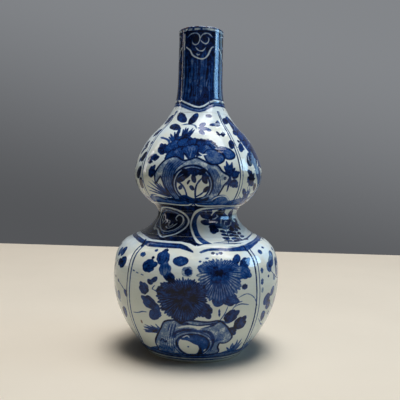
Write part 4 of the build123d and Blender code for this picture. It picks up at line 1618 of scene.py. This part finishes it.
def fired_slip(colours):
    """Slip fired in the seams: matte, with grit in it and the marks of a wet finger."""
    material, tree, shader, where = new_material("fired_slip")
    grain = add(
        tree, "ShaderNodeGroup", {"Cloud Scale": 120.0, "Grain Scale": 1400.0, "Pit Spacing": 500.0},
        node_tree=grain_group(),
    )
    tree.links.new(where, grain.inputs["Position"])
    marks = add(
        tree, "ShaderNodeTexWave", {"Vector": where, "Scale": 150.0, "Distortion": 4.0, "Detail": 2.0},
        bands_direction="Z",
    ).outputs["Fac"]
    dark = tuple(value * 0.82 for value in colours.slip)
    shown = mixed(tree, grain.outputs["Cloud"], written(dark), written(colours.slip))
    shown = mixed(tree, grain.outputs["Pits"], shown, written(colours.iron))
    tree.links.new(shown, shader.inputs["Base Color"])
    tree.links.new(spread(tree, grain.outputs["Grain"], 0.3, 0.7, 0.62, 0.85), shader.inputs["Roughness"])
    height = plus(tree, times(tree, marks, 0.25), times(tree, grain.outputs["Grain"], 0.2))
    give_height(tree, shader, height, 0.6)
    return material


def table_cloth(colours):
    """Pale cloth on the table."""
    material, tree, shader, where = new_material("table_cloth")
    slow = clouds(tree, where, 6.0, 3.0)
    fine = clouds(tree, where, 900.0, 2.0)
    shade = tuple(value * 0.955 for value in colours.floor)
    tree.links.new(mixed(tree, slow, written(shade), written(colours.floor)), shader.inputs["Base Color"])
    shader.inputs["Roughness"].default_value = 0.95
    shader.inputs["Specular IOR Level"].default_value = 0.15
    give_height(tree, shader, plus(tree, times(tree, slow, 6.0), times(tree, fine, 0.15)), 0.5)
    return material


def finish_of(maker, context):
    """A material, made once and named after its maker."""
    return bpy.data.materials.get(maker.__name__) or maker(context.scene.vase_colours)


# Operators

def stations_of(shape):
    """The outline's places in millimetres."""
    return tuple(tuple(value / MM for value in getattr(shape, name)) for name in STATION_NAMES)


# Seam below each section, seam over it, and columns of points round it
SECTIONS = {
    "lower_bulb_bowl": (None, BELLY_SEAM, 880),
    "lower_bulb_shoulder": (BELLY_SEAM, COLLAR_SEAM, 1000),
    "waist_collar": (COLLAR_SEAM, WAIST_SEAM, 720),
    "upper_bulb_bowl": (WAIST_SEAM, UPPER_BELLY_SEAM, 840),
    "upper_bulb_shoulder": (UPPER_BELLY_SEAM, NECK_SEAM, 840),
    "neck_tube": (NECK_SEAM, None, 420),
}


def put_section(context, node):
    """Model one section, lay the painting round it and let it stand for its CAD node."""
    shape = context.scene.vase_shape
    sheet = painted_sheet(stations_of(shape))
    mesh = thrown_section(node, sheet, shape, *SECTIONS[node])
    piece = bpy.data.objects.new(node + "_glazed", mesh)
    context.scene.collection.objects.link(piece)
    mesh.materials.append(finish_of(painted_porcelain, context))
    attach(piece, "root")
    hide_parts(node)


class VASE_OT_lower_bulb(Operator):
    """Model and paint the bowl and the shoulder of the lower bulb"""

    bl_idname = "vase.lower_bulb"
    bl_label = "Lower Bulb"
    bl_options = {"REGISTER", "UNDO"}

    def execute(self, context):
        put_section(context, "lower_bulb_bowl")
        put_section(context, "lower_bulb_shoulder")
        return {"FINISHED"}


class VASE_OT_waist(Operator):
    """Model and paint the flared collar between the bulbs"""

    bl_idname = "vase.waist"
    bl_label = "Waist Collar"
    bl_options = {"REGISTER", "UNDO"}

    def execute(self, context):
        put_section(context, "waist_collar")
        return {"FINISHED"}


class VASE_OT_upper_bulb(Operator):
    """Model and paint the bowl and the shoulder of the upper bulb"""

    bl_idname = "vase.upper_bulb"
    bl_label = "Upper Bulb"
    bl_options = {"REGISTER", "UNDO"}

    def execute(self, context):
        put_section(context, "upper_bulb_bowl")
        put_section(context, "upper_bulb_shoulder")
        return {"FINISHED"}


class VASE_OT_neck(Operator):
    """Model and paint the neck with its lip"""

    bl_idname = "vase.neck"
    bl_label = "Neck"
    bl_options = {"REGISTER", "UNDO"}

    def execute(self, context):
        put_section(context, "neck_tube")
        return {"FINISHED"}


class VASE_OT_seams(Operator):
    """Give the luting seams their fired slip"""

    bl_idname = "vase.seams"
    bl_label = "Luting Seams"
    bl_options = {"REGISTER", "UNDO"}

    def execute(self, context):
        slip = finish_of(fired_slip, context)
        for name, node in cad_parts.items():
            if name.endswith("_luting_seam"):
                node.data.materials.clear()
                node.data.materials.append(slip)
        return {"FINISHED"}


class VASE_OT_studio(Operator):
    """Lay the table, set the camera and light the vase"""

    bl_idname = "vase.studio"
    bl_label = "Table, Camera and Lamps"
    bl_options = {"REGISTER", "UNDO"}

    def execute(self, context):
        studio, colours = context.scene.vase_studio, context.scene.vase_colours
        lay_table(context, studio)
        set_camera(context, studio)
        context.scene.world = grey_room(colours)
        for lamp in LAMPS:
            hang_lamp(context, *lamp)
        context.scene.view_settings.view_transform = "Standard"
        return {"FINISHED"}


# Strength of the room as a lamp, beside its full strength where it is seen
ROOM_LIGHT = 0.15

# Table top, in metres, and the camera's nearest sight
TABLE_CORNER = 0.06
CORNER_STEPS = 8
TABLE_EDGE = 0.004
TABLE_SKIRT = 0.2
NEAREST_SIGHT = 0.02


def grey_room(colours):
    """Plain grey room, darker towards its foot, and to the left and right where the glaze mirrors it."""
    room = bpy.data.worlds.new("room")
    room.use_nodes = True
    tree = room.node_tree
    way = add(tree, "ShaderNodeTexCoord").outputs["Generated"]
    rise = add(tree, "ShaderNodeSeparateXYZ", {"Vector": way}).outputs["Z"]
    side = add(tree, "ShaderNodeSeparateXYZ", {"Vector": way}).outputs["X"]
    share = spread(tree, plus(tree, rise, times(tree, side, 0.22)), -0.16, 0.30)
    shade = mixed(tree, share, written(colours.wall_foot), written(colours.wall))
    path = add(tree, "ShaderNodeLightPath").outputs
    left = spread(tree, side, -0.95, -0.42, 0.75, 0.0)
    right = spread(tree, side, 0.42, 0.95, 0.0, 0.4)
    dim = times(tree, plus(tree, left, right), path["Is Glossy Ray"])
    shade = mixed(tree, dim, shade, (0, 0, 0, 1))
    tree.links.new(shade, tree.nodes["Background"].inputs["Color"])
    seen = sums(tree, "MAXIMUM", path["Is Camera Ray"], path["Is Glossy Ray"])
    tree.links.new(spread(tree, seen, 0, 1, ROOM_LIGHT, 1), tree.nodes["Background"].inputs["Strength"])
    return room


def lay_table(context, studio):
    """A square table top with rounded corners, under a pale cloth."""
    reach = studio.table_reach - TABLE_CORNER
    rim = []
    for quarter in range(4):
        middle = Matrix.Rotation(quarter * pi / 2, 3, "Z") @ Vector((reach, reach, 0))
        for step in range(CORNER_STEPS + 1):
            way = (quarter + step / CORNER_STEPS) * pi / 2
            rim.append(middle + TABLE_CORNER * Vector((cos(way), sin(way), 0)))
    edge = [point - Vector((0, 0, TABLE_EDGE)) for point in rim]
    skirt = [point - Vector((0, 0, TABLE_SKIRT)) for point in rim]
    total = len(rim)
    sides = [
        (first + base, first + base + total, (first + 1) % total + base + total, (first + 1) % total + base)
        for base in (0, total) for first in range(total)
    ]
    mesh = bpy.data.meshes.new("table")
    mesh.from_pydata([tuple(point) for point in rim + edge + skirt], [], [tuple(range(total))] + sides)
    table = bpy.data.objects.new("table", mesh)
    context.scene.collection.objects.link(table)
    mesh.materials.append(finish_of(table_cloth, context))
    table.rotation_euler.z = studio.table_turn


def set_camera(context, studio):
    """The camera of the photograph, fitted to the outline of the vase."""
    data = bpy.data.cameras.new("camera")
    data.lens = data.sensor_width * studio.focal_pixels / studio.picture_pixels
    data.shift_x = studio.sideways_pixels / studio.picture_pixels
    data.clip_start = NEAREST_SIGHT
    camera = bpy.data.objects.new("camera", data)
    context.scene.collection.objects.link(camera)
    tilt = Matrix.Rotation(pi / 2 + studio.camera_pitch, 4, "X")
    lean = Matrix.Rotation(studio.camera_roll, 4, "Z")
    stand = Matrix.Translation((0, -studio.camera_distance, studio.camera_height))
    camera.matrix_world = stand @ tilt @ lean
    context.scene.camera = camera


# Lamps: name, place in metres, width and height in metres, power in watts, colour,
# and whether it lights the scene or shows only as a mirror image in the glaze
LAMPS = (
    ("overhead", (0.20, 0.17, 5.00), (2.6, 2.6), 182.0, (1.0, 0.992, 0.975), "light"),
    ("front_overhead", (0.20, -0.80, 2.70), (0.9, 0.9), 18.5, (0.96, 0.98, 1.0), "light"),
    ("near_overhead", (0.16, -0.05, 0.86), (0.34, 0.34), 1.0, (0.72, 0.89, 1.0), "light"),
    ("window_light", (1.45, -0.10, 0.60), (0.56, 0.9), 3.4, (0.46, 0.76, 1.0), "light"),
    ("ceiling", (0.30, -0.17, 1.15), (0.32, 0.88), 9.0, (0.99, 0.96, 1.0), "mirror"),
    ("side_ceiling", (0.50, 0.22, 1.10), (0.12, 0.30), 1.1, (0.80, 0.93, 1.0), "mirror"),
    ("window", (1.25, -0.04, 0.58), (0.56, 0.46), 14.5, (0.28, 0.60, 1.0), "mirror"),
    ("sky", (1.1, 0.7, 0.45), (0.60, 0.50), 1.8, (0.45, 0.78, 1.0), "mirror"),
    ("left_window", (-1.15, 0.36, 0.66), (0.08, 1.3), 1.9, (1.0, 0.93, 0.95), "mirror"),
)
AIM = Vector((0, 0, 0.15))


def hang_lamp(context, name, spot, size, power, tint, use):
    data = bpy.data.lights.new(name, "AREA")
    data.shape = "RECTANGLE"
    data.size, data.size_y = size
    data.energy = power
    data.color = tint
    lamp = bpy.data.objects.new(name, data)
    context.scene.collection.objects.link(lamp)
    lamp.location = spot
    lamp.rotation_mode = "QUATERNION"
    lamp.rotation_quaternion = (AIM - Vector(spot)).to_track_quat("-Z", "Y")
    lamp.visible_glossy = use == "mirror"
    lamp.visible_diffuse = use == "light"
    lamp.visible_camera = False


class VASE_PT_sidebar(Panel):
    """Steps that make the vase"""

    bl_idname = "VASE_PT_sidebar"
    bl_label = "Double Gourd Vase"
    bl_space_type = "VIEW_3D"
    bl_region_type = "UI"
    bl_category = "Vase"

    def draw(self, context):
        for step in STEPS:
            self.layout.operator(step.bl_idname)
        for group in ("vase_shape", "vase_colours", "vase_studio"):
            box = self.layout.box()
            settings = getattr(context.scene, group)
            for name in settings.__annotations__:
                box.prop(settings, name)


STEPS = (
    VASE_OT_lower_bulb, VASE_OT_waist, VASE_OT_upper_bulb, VASE_OT_neck, VASE_OT_seams, VASE_OT_studio,
)
CLASSES = (VaseShape, VaseColours, VaseStudio, *STEPS, VASE_PT_sidebar)


def register():
    for item in CLASSES:
        bpy.utils.register_class(item)
    bpy.types.Scene.vase_shape = PointerProperty(type=VaseShape)
    bpy.types.Scene.vase_colours = PointerProperty(type=VaseColours)
    bpy.types.Scene.vase_studio = PointerProperty(type=VaseStudio)


def unregister():
    for name in ("vase_shape", "vase_colours", "vase_studio"):
        delattr(bpy.types.Scene, name)
    for item in reversed(CLASSES):
        bpy.utils.unregister_class(item)


def main():
    register()
    bpy.ops.vase.lower_bulb()
    bpy.ops.vase.waist()
    bpy.ops.vase.upper_bulb()
    bpy.ops.vase.neck()
    bpy.ops.vase.seams()
    bpy.ops.vase.studio()


if __name__ == "__main__":
    main()
